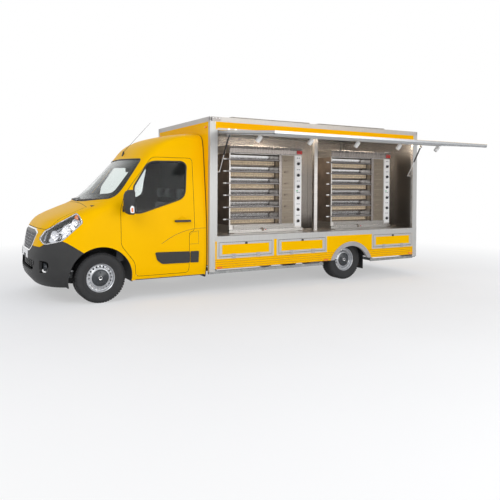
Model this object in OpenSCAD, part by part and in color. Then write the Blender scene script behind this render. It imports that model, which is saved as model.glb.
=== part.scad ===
// Food truck on a low van chassis: a rounded cab, a box body with a side
// serving flap on gas struts, three outside lockers and two rotisserie ovens.
// Inside the modules x runs forward from the front axle, y to the left and
// z up from the ground. in_frame() moves that to the part's own frame, whose
// origin is on the ground at the middle of the overall box.

/* [Chassis] */
// Distance between the axles
wheelbase = 4332; // [3900:1:4800]
// Outer diameter of the tyres
tyre_d = 699; // [640:1:720]
// Width of the tyres
tyre_w = 225; // [185:1:235]
// Distance between the middles of the two wheels on one axle
track = 1750; // [1700:1:1790]
// Radius of the front wheel arches
arch_r = 438; // [432:1:450]

/* [Box body] */
// Front axle to the front face of the box
box_setback = 1608; // [1600:1:1700]
// Length of the box
box_len = 4368; // [3900:1:4800]
// Width of the box
box_w = 2220; // [2150:1:2400]
// Ground to the top of the box
box_top = 2700; // [2600:1:3000]
// Ground to the top of the floor
floor_top = 470; // [450:1:500]
// Thickness of the sandwich panels
wall_t = 40; // [25:1:50]
// Ground to the bottom edge of the skirts
skirt_bottom = 371; // [350:1:400]
// Height of the skirts
skirt_h = 156; // [120:1:180]

/* [Serving side] */
// Ground to the top of the counter
counter_top = 872; // [850:1:950]
// Height of the serving opening
opening_h = 1628; // [1400:1:1680]
// Angle of the flap from shut
flap_open = 85; // [60:1:88]
// Thickness of the flap
flap_t = 36; // [25:1:45]
// Depth of the counter from the outside wall inwards
counter_depth = 830; // [700:1:900]

/* [Rotisserie] */
// Width of each rotisserie
oven_w = 1420; // [1200:1:1450]
// Depth of each rotisserie
oven_d = 500; // [450:1:520]
// Height of each rotisserie
oven_h = 1438; // [1300:1:1450]
// Number of spit levels in each rotisserie
levels = 6; // [3:1:6]

/* [Cab] */
// Thickness of the cab's walls and doors
cab_t = 55; // [40:1:65]
// Thickness of the bonnet, wings and bumper
panel_t = 22; // [15:1:30]
// Gap round doors, lids and flaps
shut_gap = 6; // [5:1:8]

/* [Hidden] */
$fn = 96;

seat_gap = 0.3;         // clearance of a fixed piece in its seat
pin_gap = 0.3;          // radial clearance of a running pin
big = 9000;             // longer than anything here

// Box body: the faces that its pieces share
half_w = box_w / 2;
box_front = -box_setback;
box_rear = box_front - box_len;
inner_y = half_w - wall_t;
rail_h = 75;            // height of the roof rails
post_x = 97;            // length of the corner posts along the box
post_y = 60;            // depth of the corner posts into the box
rail_bottom = box_top - rail_h;
post_front = box_front - post_x;
post_rear = box_rear + post_x;
skirt_top = skirt_bottom + skirt_h;
floor_t = 40;
floor_bottom = floor_top - floor_t;
roof_bottom = box_top - 5 - wall_t;

// Serving side
frame_w = 33;           // bare frame between the posts and the opening
opening_front = post_front - frame_w;
opening_rear = post_rear + frame_w - 17;
opening_top = counter_top + opening_h;
counter_t = 34;
counter_bottom = counter_top - counter_t;
counter_back = half_w - counter_depth;
barrel_r = 7;           // outer radius of the flap's and doors' hinge barrels
flap_axis = [half_w + barrel_r + 1, opening_top + 2];
flap_l = flap_axis.y - counter_top - 8;
flap_edge = flap_axis.x - (flap_axis.x - half_w) * cos(flap_open) + flap_l * sin(flap_open);

// Gas struts: pins in the flap's shut position, and the cylinder's length
strut_inset = 62;       // from the end of the opening to the strut
strut_arm = 250;        // down the flap from its hinge axis to the upper pin
strut_depth = 91;       // inwards from the hinge axis to the upper pin
strut_base = [inner_y - 20, flap_axis.y - 640];
cylinder_l = 315;
rod_r = 6;

// Lockers: [front end, rear end]
locker_top = 804;
locker_xs = [
    [opening_front - 2, opening_front - 1015],
    [opening_front - 1087, opening_front - 2089],
    [opening_rear + 996, opening_rear - 4]
];
locker_rim = 32;        // fixed rim round each locker door
locker_axis = [half_w + barrel_r, skirt_top + locker_rim - shut_gap + 3];
locker_depth = 380;
sheet = 8;              // thickness of the lockers' boxes

// Wheels
wheel_r = tyre_d / 2;
rim_r = 203;            // radius where tyre and rim meet
rim_barrel = 13;        // thickness of the rim's barrel
rear_x = -wheelbase;
wheel_y = track / 2;
spindle_r = 24;
kingpin_y = wheel_y - 140;
kingpin_r = 14;
housing_half = 400;     // half the length of a rear wheel housing
housing_top = 760;

// Rear arch trim: a flat arc round a centre below the axle
trim_r = 494;
trim_w = 74;
trim_z = 184;
trim_x = rear_x - 46;

// Rotisseries: front faces of the two, and their cooking space
oven_front = half_w - 360;
oven_xs = [opening_front - 392, opening_rear + 243 + oven_w];
side_t = 20;
control_w = 160;
drive_w = 310;
drawer_h = 138;
canopy_h = 130;
cavity_w = oven_w - side_t - drive_w - control_w;
cavity_h = oven_h - drawer_h - canopy_h;
spit_y = oven_front - 170;
spit_r = 6;

// Rear door
rear_door_half = 400;
rear_door_bottom = floor_top + 20;
rear_door_top = 2350;
rear_axis = [box_rear - barrel_r - 1, -rear_door_half + 3];

// The part's own frame: ground level, middle of the overall box
nose_x = 860;
rear_step = 70;         // how far the rear steps stand out behind the box
mirror_out = 1290;
origin = [(nose_x + box_rear - rear_step) / 2, (flap_edge - mirror_out) / 2, 0];

// ---------------------------------------------------------------- cab shape
// One row per height: [height, nose x, x where the flat side starts, half width, squareness]
cab_rows = [
    [250, 760, 150, 985, 3.0],
    [350, 835, 150, 1015, 3.0],
    [470, 860, 150, 1034, 3.0],
    [650, 860, 150, 1036, 3.1],
    [760, 832, 140, 1036, 3.2],
    [940, 790, 80, 1032, 3.3],
    [1050, 745, 20, 1027, 3.3],
    [1140, 672, -40, 1020, 3.3],
    [1215, 545, -90, 1013, 3.2],
    [1300, 345, -170, 1005, 3.0],
    [1380, 165, -300, 997, 2.6],
    [1560, -45, -500, 975, 2.1],
    [1800, -288, -650, 945, 2.1],
    [2060, -550, -790, 912, 2.2],
    [2260, -718, -1000, 882, 2.3],
    [2390, -965, -1300, 832, 2.4],
    [2440, -1190, -1440, 740, 2.4],
    [2468, -1400, -1500, 560, 2.4]
];
cab_rear = box_front + 18;
cab_steps = 8;          // facets of a quarter of each section

function superellipse(p, a) = [pow(cos(a), 2 / p), pow(sin(a), 2 / p)];
function section(r, inset) = let (
    nose = r[1] - inset, side = r[2] - inset, w = r[3] - inset, p = r[4],
    rear = cab_rear + inset, z = r[0] - inset,
    quarter = [for (i = [0:cab_steps]) superellipse(p, 90 - 90 * i / cab_steps)]
) concat(
    [[rear, w, z]],
    [for (q = quarter) [side + (nose - side) * q[0], w * q[1], z]],
    [for (i = [1:cab_steps]) let (q = quarter[cab_steps - i])
        [side + (nose - side) * q[0], -w * q[1], z]],
    [[rear, -w, z]]
);
module loft(rings) {
    n = len(rings[0]);
    m = len(rings);
    polyhedron(
        points = [for (r = rings) each r],
        faces = concat(
            [[for (i = [0:n - 1]) n - 1 - i]],
            [[for (i = [0:n - 1]) (m - 1) * n + i]],
            [for (k = [0:m - 2], i = [0:n - 1]) let (j = (i + 1) % n)
                each [[k * n + i, (k + 1) * n + j, (k + 1) * n + i], [k * n + i, k * n + j, (k + 1) * n + j]]]
        )
    );
}
module cab_solid(inset) loft([for (r = cab_rows) section(r, inset)]);
module cab_skin(t) difference() { cab_solid(0); cab_solid(t); }

// Prisms along each axis through an outline
module along_y(outline) translate([0, big / 2, 0]) rotate([90, 0, 0]) linear_extrude(big) polygon(outline);
module along_y_grown(outline, g) translate([0, big / 2, 0]) rotate([90, 0, 0]) linear_extrude(big)
    offset(delta = g) polygon(outline);
module along_y_side(outline, side) intersection() {
    along_y(outline);
    translate([-big / 2, side > 0 ? 0 : -big, -big / 2]) cube([big, big, big]);
}
module along_x(outline, x0, x1) translate([x0, 0, 0]) rotate([90, 0, 90]) linear_extrude(x1 - x0) polygon(outline);
module box(a, b) translate([min(a.x, b.x), min(a.y, b.y), min(a.z, b.z)])
    cube([abs(b.x - a.x), abs(b.y - a.y), abs(b.z - a.z)]);
module rod_x(x0, x1, y, z, r) translate([min(x0, x1), y, z]) rotate([0, 90, 0]) cylinder(r = r, h = abs(x1 - x0));
module rod_y(y0, y1, x, z, r) translate([x, max(y0, y1), z]) rotate([90, 0, 0]) cylinder(r = r, h = abs(y1 - y0));
module rod_z(z0, z1, x, y, r) translate([x, y, min(z0, z1)]) cylinder(r = r, h = abs(z1 - z0));
module both_sides() { children(); mirror([0, 1, 0]) children(); }

// Side-view outlines, [x, z]
wing_rear = -268;
door_front = wing_rear - shut_gap;
door_rear = -1395;
door_rear_low = -1307;
door_bottom = 345;
door_top = 2062;
door_outline = [
    [door_front, 800], [door_front, 1320], [-335, 1500], [-745, door_top - 20], [-800, door_top],
    [door_rear, door_top], [door_rear, 975], [door_rear_low, 945],
    [door_rear_low, door_bottom], [-490, door_bottom], [-478, 540]
];
window_outline = [
    [-420, 1258], [-462, 1440], [-480, 1630], [-677, 1935], [-725, 1980], [-800, 2000],
    [-1224, 2007], [-1270, 1985], [-1295, 1941], [-1262, 1560],
    [-1235, 1490], [-1180, 1448], [-1123, 1428], [-600, 1262], [-536, 1250]
];
// Front-view outline of the windscreen, [y, z]
function windscreen_outline(g) = [
    [-905 - g, 1455 - g], [-450, 1412 - g], [0, 1400 - g], [450, 1412 - g], [905 + g, 1455 - g],
    [800 + g, 2045 + g], [0, 2062 + g], [-800 - g, 2045 + g]
];
headlight_outline = [[300, 1262], [248, 1130], [520, 885], [722, 828], [760, 900], [700, 1010], [540, 1130]];
wing_top = [[wing_rear, 1445], [144, 1384], [144, 1600], [950, 1600]];
grille_outline = [
    [-430, 800], [-330, 710], [330, 710], [430, 800], [520, 985], [330, 1030], [-330, 1030], [-520, 985]
];
hood_rear = 156;
hood_half = 780;
hood_front_z = 1036;
tub_y = 540;            // inner side of the front wheel tubs

module arch_cut(r) both_sides() rod_y(tub_y, big, 0, wheel_r, r);
module wing_region() along_y(concat(wing_top, [[950, 150], [wing_rear, 150]]));
module hood_region(g) intersection() {
    box([hood_rear - g, -hood_half - g, hood_front_z - g], [950, hood_half + g, 1600]);
    difference() {
        box([0, -big, 0], [950, big, 2000]);
        headlight_cut(shut_gap - g);
    }
}
module headlight_cut(g) both_sides() intersection() {
    along_y_grown(headlight_outline, g);
    box([0, 545 - g, 0], [950, big, 2000]);
}
module bumper_region() along_y([
    [-300, 150], [950, 150], [950, 790], [760, 790], [722, 828], [520, 885], [455, 855],
    [240, 712], [0, 600], [-300, 600]
]);
module grille_cut() along_x(grille_outline, 500, 950);

// ---------------------------------------------------------------- hinges
// A hinge stands along z, centred: the ears and pin stay, the barrel turns
module ears(h, r) {
    rod_z(-h / 2, h / 2, 0, 0, r / 2);
    for (s = [-1, 1]) rod_z(s * h / 2, s * h / 4, 0, 0, r);
}
module barrel(h, r) difference() {
    rod_z(-h / 4 + 1, h / 4 - 1, 0, 0, r);
    rod_z(-h, h, 0, 0, r / 2 + pin_gap);
}
// The same at the ends of a leaf's height, for a plate that joins ears or barrel to its panel
module at_ends(h) for (s = [-1, 1]) translate([0, 0, s * h * 3 / 8]) children();

hinge_h = 60;
door_axis = [door_front + 3, 1042];
door_hinge_zs = [870, 1220];
hood_axis = [hood_rear - 6, 1386];
hood_hinge_y = 500;
flap_hinge_h = 160;
flap_hinge_xs = [for (i = [0:4]) opening_front - 250 - i * (opening_front - opening_rear - 500) / 4];
rear_hinge_zs = [750, 1450, 2150];
locker_hinge_offset = 0.28;
function locker_hinges(x) = [for (k = [locker_hinge_offset, 1 - locker_hinge_offset]) x[0] + (x[1] - x[0]) * k];

// ---------------------------------------------------------------- chassis
module in_frame() translate(-origin) children();

cross_xs = [-1750, -2750, -3780, -4930];
module chassis_frame() color("lightgray") in_frame() difference() {
    union() {
        both_sides() {
            box([box_rear, 400, 345], [-440, 460, floor_bottom]);
            box([-440, 400, 300], [-700, 460, 345 + 5]);
            box([-700, 400, 300], [520, 460, 380]);
            box([-1640, 985, 285], [trim_x + 545, 1020, 330]);
            box([trim_x - 545, 985, 285], [box_rear, 1020, 330]);
            // what carries the knuckle: two arms and the kingpin between them
            box([-40, 400, 232], [40, 460, 468]);
            for (z = [232, 443]) box([-30, 450, z], [30, kingpin_y + 20, z + 25]);
            rod_z(232, 468, 0, kingpin_y, kingpin_r);
        }
        for (x = cross_xs) {
            box([x - 30, -1020, 300], [x + 30, 1020, 345]);
            both_sides() box([x - 30, 400, 340], [x + 30, 460, 350]);
        }
        both_sides() box([box_rear, 400, 290], [box_rear + 60, 460, 350]);
        box([box_rear, -1020, 290], [box_rear + 8, 1020, floor_bottom]);
        box([-120, -460, 300], [160, 460, 390]);
        box([440, -460, 300], [520, 460, 380]);
    }
    // tow bracket holes in the end plate
    for (y = [-90, 90], z = [330, 390]) rod_x(box_rear - 10, box_rear + 30, y, z, 6.5);
}
module rear_axle() color("dimgray") in_frame() {
    box([rear_x - 40, -660, 262], [rear_x + 40, 660, 335]);
    both_sides() {
        box([rear_x - 50, 640, 262], [rear_x + 50, wheel_y - 105, 392]);
        rod_y(wheel_y - 105, wheel_y + 30, rear_x, wheel_r, spindle_r);
        box([rear_x - 520, 405, 240], [rear_x + 520, 455, 262]);
        for (s = [-1, 1]) box([rear_x + s * 490, 405, 240], [rear_x + s * 520, 455, 345]);
    }
}
module engine_block() color("gray") in_frame() box([-230, -300, 390], [400, 300, 940]);
module fuel_tank() color("black") in_frame() box([-2650, -360, 252], [-2080, 360, floor_bottom]);
module exhaust() color("silver") in_frame() {
    rod_z(262, 390, -200, -200, 22);
    rod_x(-200, -1260, -200, 262, 22);
    box([-1250, -480, 236], [-1780, -150, 300]);
    rod_y(-480, -1000, -1640, 262, 20);
}

// ---------------------------------------------------------------- cab
module floor_and_firewall() {
    intersection() {
        cab_solid(panel_t + seat_gap);
        union() {
            box([cab_rear + 10, -1100, floor_bottom], [door_rear - 12, 1100, floor_top]);
            box([-330, -900, 1330], [hood_rear - shut_gap, 900, 1375]);
            box([wing_rear + 6, -1100, 1345], [hood_rear - shut_gap, 1100, 1375]);
            both_sides() box([wing_rear + 6, 880, 1370], [-200, 1000, 1500]);
        }
    }
    box([cab_rear + 10, -950, floor_bottom], [-560, 950, floor_top]);
    box([-570, -tub_y, floor_bottom], [-320, tub_y, floor_top]);
    box([-330, -900, 640], [-300, 900, 1375]);
    box([-330, -tub_y, floor_bottom], [-300, tub_y, 660]);
    both_sides() {
        box([cab_rear + 10, 890, 285], [-490, 1005, door_bottom - shut_gap]);
        box([cab_rear + 10, 890, door_bottom - shut_gap - 5], [-490, 950, floor_bottom + 5]);
        box([-340, 860, 560], [-220, 918, 1320]);
        intersection() {
            rod_y(tub_y - 10, 945, 0, wheel_r, arch_r + 24);
            box([-480, 0, floor_bottom], [-300, big, 1000]);
        }
    }
}
module cab_shell() color("gold") in_frame() difference() {
    union() {
        difference() {
            cab_skin(cab_t);
            wing_region();
            box([-big, -big, 0], [big, big, 285]);
            along_y_grown(door_outline, shut_gap);
            along_x(windscreen_outline(seat_gap), -900, 600);
        }
        floor_and_firewall();
    }
    arch_cut(arch_r);
    // the chassis passes under the floor
    box([cab_rear - 10, -880, 0], [cab_rear + cab_t + 10, 880, floor_bottom]);
}
module windscreen() color("lightcyan") in_frame() intersection() {
    cab_skin(9);
    along_x(windscreen_outline(0), -900, 600);
}
module front_wings() color("gold") in_frame() {
    difference() {
        intersection() { cab_skin(panel_t); wing_region(); }
        hood_region(shut_gap);
        headlight_cut(0);
        bumper_region();
        grille_cut();
        arch_cut(arch_r);
    }
    // fixed halves of the door and hood hinges
    both_sides() {
        for (z = door_hinge_zs) translate([door_axis.x, door_axis.y, z]) {
            ears(hinge_h, barrel_r);
            at_ends(hinge_h) box([0, -38, -hinge_h / 8], [30, 0, hinge_h / 8]);
        }
        translate([hood_axis.x, hood_hinge_y, hood_axis.y]) rotate([90, 0, 0]) {
            ears(hinge_h, barrel_r);
            at_ends(hinge_h) box([-16, -30, -hinge_h / 8], [-2, 4, hinge_h / 8]);
        }
    }
}
module hood() color("gold") in_frame() {
    intersection() {
        cab_skin(panel_t);
        hood_region(0);
    }
    both_sides() translate([hood_axis.x, hood_hinge_y, hood_axis.y]) rotate([90, 0, 0]) difference() {
        union() {
            rod_z(-hinge_h / 4 + 1, hinge_h / 4 - 1, 0, 0, barrel_r);
            box([0, -6, -hinge_h / 4 + 1], [32, 5, hinge_h / 4 - 1]);
            box([12, -26, -hinge_h / 4 + 1], [32, 0, hinge_h / 4 - 1]);
        }
        rod_z(-hinge_h, hinge_h, 0, 0, barrel_r / 2 + pin_gap);
    }
}
module front_bumper() color("dimgray") in_frame() difference() {
    intersection() { cab_skin(panel_t + 12); bumper_region(); }
    headlight_cut(0);
    grille_cut();
    arch_cut(arch_r);
    box([-big, -big, 0], [200, big, 2000]);
}
module grille() color("black") in_frame() intersection() {
    difference() { cab_solid(10); cab_solid(30); }
    grille_cut();
}
module headlights() color("white") in_frame() intersection() {
    cab_skin(60);
    headlight_cut(0);
}
module dashboard() color("dimgray") in_frame() {
    intersection() {
        cab_solid(70);
        rotate([90, 0, 0]) translate([0, 0, -855]) linear_extrude(1710)
            polygon([[-330, 760], [-470, 760], [-620, 960], [-640, 1130], [-560, 1230], [-330, 1290]]);
    }
    // steering column
    translate(column_top) rotate([0, column_tilt, 0]) rod_z(-18, -210, 0, 0, 28);
}
column_top = [-760, 400, 1130];
column_tilt = -35;
module steering_wheel() color("black") in_frame() translate(column_top) rotate([0, column_tilt, 0]) {
    rotate_extrude() translate([185, 0]) circle(r = 15, $fn = 24);
    rod_z(-18, 16, 0, 0, 55);
    for (a = [0, 120, 240]) rotate([0, 0, a]) box([0, -16, -10], [182, 16, 6]);
}
// [middle y, width] of the driver's seat and the passengers' bench
seat_rows = [[400, 480], [-330, 860]];
module seats() color("gray") in_frame() for (r = seat_rows) translate([0, r[0], 0]) {
    box([-1350, -r[1] / 2 + 40, floor_top], [-900, r[1] / 2 - 40, 690]);
    box([-1370, -r[1] / 2, 690], [-860, r[1] / 2, 820]);
    box([-1500, -r[1] / 2, 820], [-1370, r[1] / 2, 1420]);
    box([-1370, -r[1] / 2, 700], [-1371 - 60, r[1] / 2, 830]);
    n = r[1] > 600 ? 2 : 1;
    for (i = [0:n - 1]) translate([0, (i - (n - 1) / 2) * 420, 0])
        box([-1490, -130, 1420], [-1390, 130, 1610]);
}
module side_door(side) color("gold") in_frame() mirror([0, side > 0 ? 0 : 1, 0]) {
    difference() {
        intersection() { cab_skin(cab_t); along_y_side(door_outline, 1); }
        along_y_grown(window_outline, seat_gap);
    }
    for (z = door_hinge_zs) translate([door_axis.x, door_axis.y, z]) difference() {
        union() {
            rod_z(-hinge_h / 4 + 1, hinge_h / 4 - 1, 0, 0, barrel_r);
            box([-32, -40, -hinge_h / 4 + 1], [-4, 0, hinge_h / 4 - 1]);
        }
        rod_z(-hinge_h, hinge_h, 0, 0, barrel_r / 2 + pin_gap);
    }
}
module door_glass(side) color("lightcyan") in_frame() mirror([0, side > 0 ? 0 : 1, 0]) intersection() {
    difference() { cab_solid(8); cab_solid(14); }
    along_y_side(window_outline, 1);
}
module door_mirror(side) color("black") in_frame() mirror([0, side > 0 ? 0 : 1, 0]) {
    hull() {
        for (z = [1245, 1570]) translate([0, 0, z])
            box([-400, 1135, -25], [-370, mirror_out - 20, 25]);
        for (z = [1270, 1550]) translate([0, 0, z])
            box([-300, 1150, -15], [-250, mirror_out, 15]);
    }
    hull() {
        box([-360, 1140, 1300], [-310, 1160, 1360]);
        box([-370, mirror_foot, 1270], [-300, mirror_foot + 8, 1350]);
    }
}
mirror_foot = 1008.1;

// ---------------------------------------------------------------- box body
module box_floor() color("gray") in_frame() difference() {
    union() {
        box([box_front - wall_t, -inner_y, floor_bottom], [box_rear + wall_t, inner_y, floor_top]);
        both_sides() box([box_front - wall_t, inner_y - 40, floor_top], [box_rear + wall_t, inner_y, skirt_top]);
    }
    both_sides() box([rear_x - housing_half, wheel_y - 155, 0], [rear_x + housing_half, big, 600]);
    // room for the lockers' sills and the corner posts
    both_sides() for (x = [[box_front, post_front], [post_rear, box_rear]])
        box([x[0], half_w - post_y, 0], [x[1], big, 600]);
}
module box_front_wall() color("gold") in_frame()
    box([box_front - wall_t, -half_w + post_y, floor_bottom], [box_front, half_w - post_y, rail_bottom]);
module side_wall() difference() {
    box([post_rear, inner_y, skirt_top], [post_front, half_w, rail_bottom]);
    rod_y(0, big, trim_x, trim_z, trim_r - 24);
}
// The opening inside a locker's rim, grown by g, from y0 to y1
module locker_front(x, y0, y1, g)
    box([x[1] + locker_rim - g, y0, skirt_top + locker_rim - g],
        [x[0] - locker_rim + g, y1, locker_top - locker_rim + g]);
module box_right_wall() color("gold") in_frame() mirror([0, 1, 0]) side_wall();
module box_left_wall() color("gold") in_frame() {
    difference() {
        side_wall();
        box([opening_rear, 0, counter_bottom], [opening_front, big, opening_top]);
        for (x = locker_xs) locker_front(x, 0, big, shut_gap);
    }
    // fixed halves of the locker doors' hinges
    for (l = locker_xs, x = locker_hinges(l)) translate([x, locker_axis.x, locker_axis.y]) rotate([0, 90, 0]) {
        ears(hinge_h, barrel_r - 1);
        at_ends(hinge_h) box([0, -8, -hinge_h / 8], [24, -2, hinge_h / 8]);
    }
    // strut brackets
    for (e = [[opening_front, -1], [opening_rear, 1]]) {
        box([e[0] - e[1] * 14, inner_y - 36, strut_base.y - 20],
            [e[0] + e[1] * 4, inner_y + 1, strut_base.y + 20]);
        rod_x(e[0], e[0] + e[1] * (strut_inset - 14), strut_base.x, strut_base.y, 8);
    }
    // fixed halves of the flap's hinges
    for (x = flap_hinge_xs) translate([x, flap_axis.x, flap_axis.y]) rotate([0, 90, 0]) {
        ears(flap_hinge_h, barrel_r);
        at_ends(flap_hinge_h) box([-30, -9, -flap_hinge_h / 8], [0, -3, flap_hinge_h / 8]);
    }
}
module box_rear_wall() color("gold") in_frame() {
    difference() {
        box([box_rear, -half_w + post_y, floor_bottom], [box_rear + wall_t, half_w - post_y, rail_bottom]);
        box([box_rear - 10, -rear_door_half, rear_door_bottom - shut_gap],
            [box_rear + 100, rear_door_half, rear_door_top + shut_gap]);
    }
    for (z = rear_hinge_zs) translate([rear_axis.x, rear_axis.y, z]) {
        ears(hinge_h * 2, barrel_r);
        at_ends(hinge_h * 2) box([3, -34, -hinge_h / 4], [9, 0, hinge_h / 4]);
    }
}
module box_roof() color("gold") in_frame()
    box([box_rear + post_y, -half_w + post_y, roof_bottom], [box_front - post_y, half_w - post_y, box_top - 5]);
module box_edge_frame() color("lightgray") in_frame() {
    both_sides() {
        for (x = [[box_front, post_front], [post_rear, box_rear]])
            box([x[0], half_w - post_y, 330], [x[1], half_w, box_top]);
        box([post_rear, half_w - post_y, rail_bottom], [post_front, half_w, box_top]);
    }
    for (x = [[box_front, box_front - post_y], [box_rear, box_rear + post_y]])
        box([x[0], -half_w + post_y, rail_bottom], [x[1], half_w - post_y, box_top]);
}
module side_skirts() color("gold") in_frame() {
    both_sides() difference() {
        box([post_rear, inner_y, skirt_bottom], [post_front, half_w, skirt_top]);
        rod_y(0, big, trim_x, trim_z, trim_r - 24);
    }
}
module wheel_arches() color("lightgray") in_frame() both_sides() {
    // flared trim outside, and the boxed housing behind it
    difference() {
        union() {
            rod_y(inner_y, half_w + 8, trim_x, trim_z, trim_r - 24 - seat_gap);
            rod_y(half_w, half_w + 8, trim_x, trim_z, trim_r);
        }
        rod_y(0, big, trim_x, trim_z, trim_r - trim_w);
        box([-big, 0, -big], [big, big, skirt_bottom]);
    }
    difference() {
        box([rear_x - housing_half, wheel_y - 155, floor_bottom - 30],
            [rear_x + housing_half, inner_y, housing_top]);
        box([rear_x - housing_half + 6, wheel_y - 149, 0], [rear_x + housing_half - 6, big, housing_top - 6]);
    }
}
module counter() color("silver") in_frame() {
    box([opening_rear, inner_y, counter_bottom], [opening_front, half_w, counter_top]);
    box([opening_rear, counter_back, counter_bottom], [opening_front, inner_y + 1, counter_top]);
    box([opening_rear, counter_back, floor_top], [opening_front, counter_back + 20, counter_bottom + 1]);
    box([middle_post_x - 35, oven_front - 60, counter_top - 1], [middle_post_x + 35, oven_front, roof_bottom]);
}
middle_post_x = (opening_front + opening_rear) / 2 - 60;
module locker_boxes() color("lightgray") in_frame() for (x = locker_xs) difference() {
    box([x[1] - sheet, inner_y - locker_depth, skirt_top], [x[0] + sheet, inner_y, locker_top + sheet]);
    box([x[1], inner_y - locker_depth + sheet, skirt_top + sheet], [x[0], big, locker_top]);
}
module roof_vents() color("silver") in_frame() for (x = [[-2130, -3600], [-3850, -5330]]) {
    box([x[1], -850, box_top - 5], [x[0], 850, box_top + 38]);
    box([x[1] - 25, -875, box_top + 38], [x[0] + 25, 875, box_top + 50]);
}
module rear_bumper() color("lightgray") in_frame() both_sides()
    box([box_rear - rear_step, 260, 300], [box_rear, 1020, 360]);
module rear_lamps() color("red") in_frame() both_sides()
    box([box_rear - 14, half_w - 55, 620], [box_rear, half_w - 5, 900]);
module rear_door() color("gold") in_frame() {
    box([box_rear, -rear_door_half + shut_gap, rear_door_bottom],
        [box_rear + wall_t, rear_door_half - shut_gap, rear_door_top]);
    for (z = rear_hinge_zs) translate([rear_axis.x, rear_axis.y, z]) difference() {
        union() {
            rod_z(-hinge_h / 2 + 1, hinge_h / 2 - 1, 0, 0, barrel_r);
            box([0, 0, -hinge_h / 2 + 1], [9, 36, hinge_h / 2 - 1]);
        }
        rod_z(-hinge_h, hinge_h, 0, 0, barrel_r / 2 + pin_gap);
    }
}

// ---------------------------------------------------------------- rotisseries
function level_z(i) = counter_top + drawer_h + cavity_h * (i + 0.5) / levels;
module rotisserie_cabinets() color("silver") in_frame() for (x = oven_xs) translate([x, oven_front, 0])
difference() {
    union() {
        box([0, 0, counter_top], [-oven_w, -oven_d, counter_top + oven_h - canopy_h]);
        box([0, 0, counter_top + oven_h - canopy_h - 1], [-oven_w, -oven_d, counter_top + oven_h]);
        box([10, 15, counter_top + oven_h - 45], [-oven_w - 10, -oven_d, counter_top + oven_h]);
    }
    box([-side_t, 1, counter_top + drawer_h],
        [-side_t - cavity_w, -oven_d + side_t, counter_top + drawer_h + cavity_h]);
    for (i = [0:levels - 1]) rod_x(10, -side_t - cavity_w - 30, spit_y - oven_front, level_z(i), spit_r + pin_gap);
}
module rotisserie_burners() color("tan") in_frame() for (x = oven_xs, i = [0:levels - 1])
    translate([x - side_t, oven_front - oven_d + side_t, level_z(i)])
        box([-30, 0, -52], [-cavity_w + 30, 60, 52]);
module rotisserie_spits() color("silver") in_frame() for (x = oven_xs, i = [0:levels - 1])
translate([x, spit_y, level_z(i)]) {
    rod_x(40, -side_t - cavity_w - 28, 0, 0, spit_r);
    rod_y(0, 120, 34, 0, spit_r);
    rod_x(28, 110, 120, 0, spit_r);
}

// ---------------------------------------------------------------- serving flap
module in_flap() in_frame() translate([0, flap_axis.x, flap_axis.y]) rotate([flap_open, 0, 0])
    translate([0, -flap_axis.x, -flap_axis.y]) children();
strut_xs = [opening_front - strut_inset, opening_rear + strut_inset];
flap_inner = half_w - flap_t;
flap_pin = [flap_axis.x - strut_depth, flap_axis.y - strut_arm];
module serving_flap() color("gold") in_flap() {
    box([opening_rear + shut_gap, flap_inner, flap_axis.y - flap_l],
        [opening_front - shut_gap, half_w, opening_top - shut_gap]);
    for (x = flap_hinge_xs) translate([x, flap_axis.x, flap_axis.y]) rotate([0, 90, 0]) difference() {
        union() {
            rod_z(-flap_hinge_h / 4 + 1, flap_hinge_h / 4 - 1, 0, 0, barrel_r);
            box([0, -7, -flap_hinge_h / 4 + 1], [34, -1, flap_hinge_h / 4 - 1]);
            box([9, -9, -flap_hinge_h / 4 + 1], [34, -1, flap_hinge_h / 4 - 1]);
        }
        rod_z(-flap_hinge_h, flap_hinge_h, 0, 0, barrel_r / 2 + pin_gap);
    }
    for (x = strut_xs) {
        for (s = [-1, 1])
            box([x + s * 14, flap_pin.x - 12, flap_pin.y - 16], [x + s * 19, flap_inner + 1, flap_pin.y + 16]);
        rod_x(x - 16, x + 16, flap_pin.x, flap_pin.y, 5);
    }
}
spot_xs = [for (i = [0:4]) opening_front - 226 - i * 894];
module flap_spotlights() color("white") in_flap() {
    // rail on the flap's inner face with five round lamps on it
    box([spot_xs[4] - 90, flap_inner - 30, flap_axis.y - 880], [spot_xs[0] + 90, flap_inner, flap_axis.y - 850]);
    for (x = spot_xs) {
        rod_y(flap_inner - 30, flap_inner - 62, x, flap_axis.y - 865, 12);
        rod_x(x - 55, x + 55, flap_inner - 80, flap_axis.y - 865, 36);
    }
}
// Struts, drawn open: the cylinder hangs from the flap's pin, the rod reaches the post
function turned(p, a) = [p.x * cos(a) - p.y * sin(a), p.x * sin(a) + p.y * cos(a)];
strut_top = flap_axis + turned(flap_pin - flap_axis, flap_open);
strut_l = norm(strut_top - strut_base);
strut_lean = atan2(strut_top.x - strut_base.x, strut_top.y - strut_base.y);
module in_strut(x) in_frame() translate([x, strut_top.x, strut_top.y]) rotate([-strut_lean, 0, 0]) children();
module strut_cylinder(x) color("black") in_strut(x) difference() {
    union() {
        rod_z(-18, -cylinder_l, 0, 0, 13);
        rod_x(-10, 10, 0, 0, 12);
        box([-8, -8, -40], [8, 8, 0]);
    }
    rod_x(-20, 20, 0, 0, 5 + pin_gap);
    rod_z(-48, -cylinder_l - 10, 0, 0, rod_r + pin_gap);
}
module strut_rod(x) color("silver") in_strut(x) {
    rod_z(-strut_l + 8, -cylinder_l + 30, 0, 0, rod_r);
    rod_x(-6, 6, 0, -strut_l, 10);
}

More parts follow.
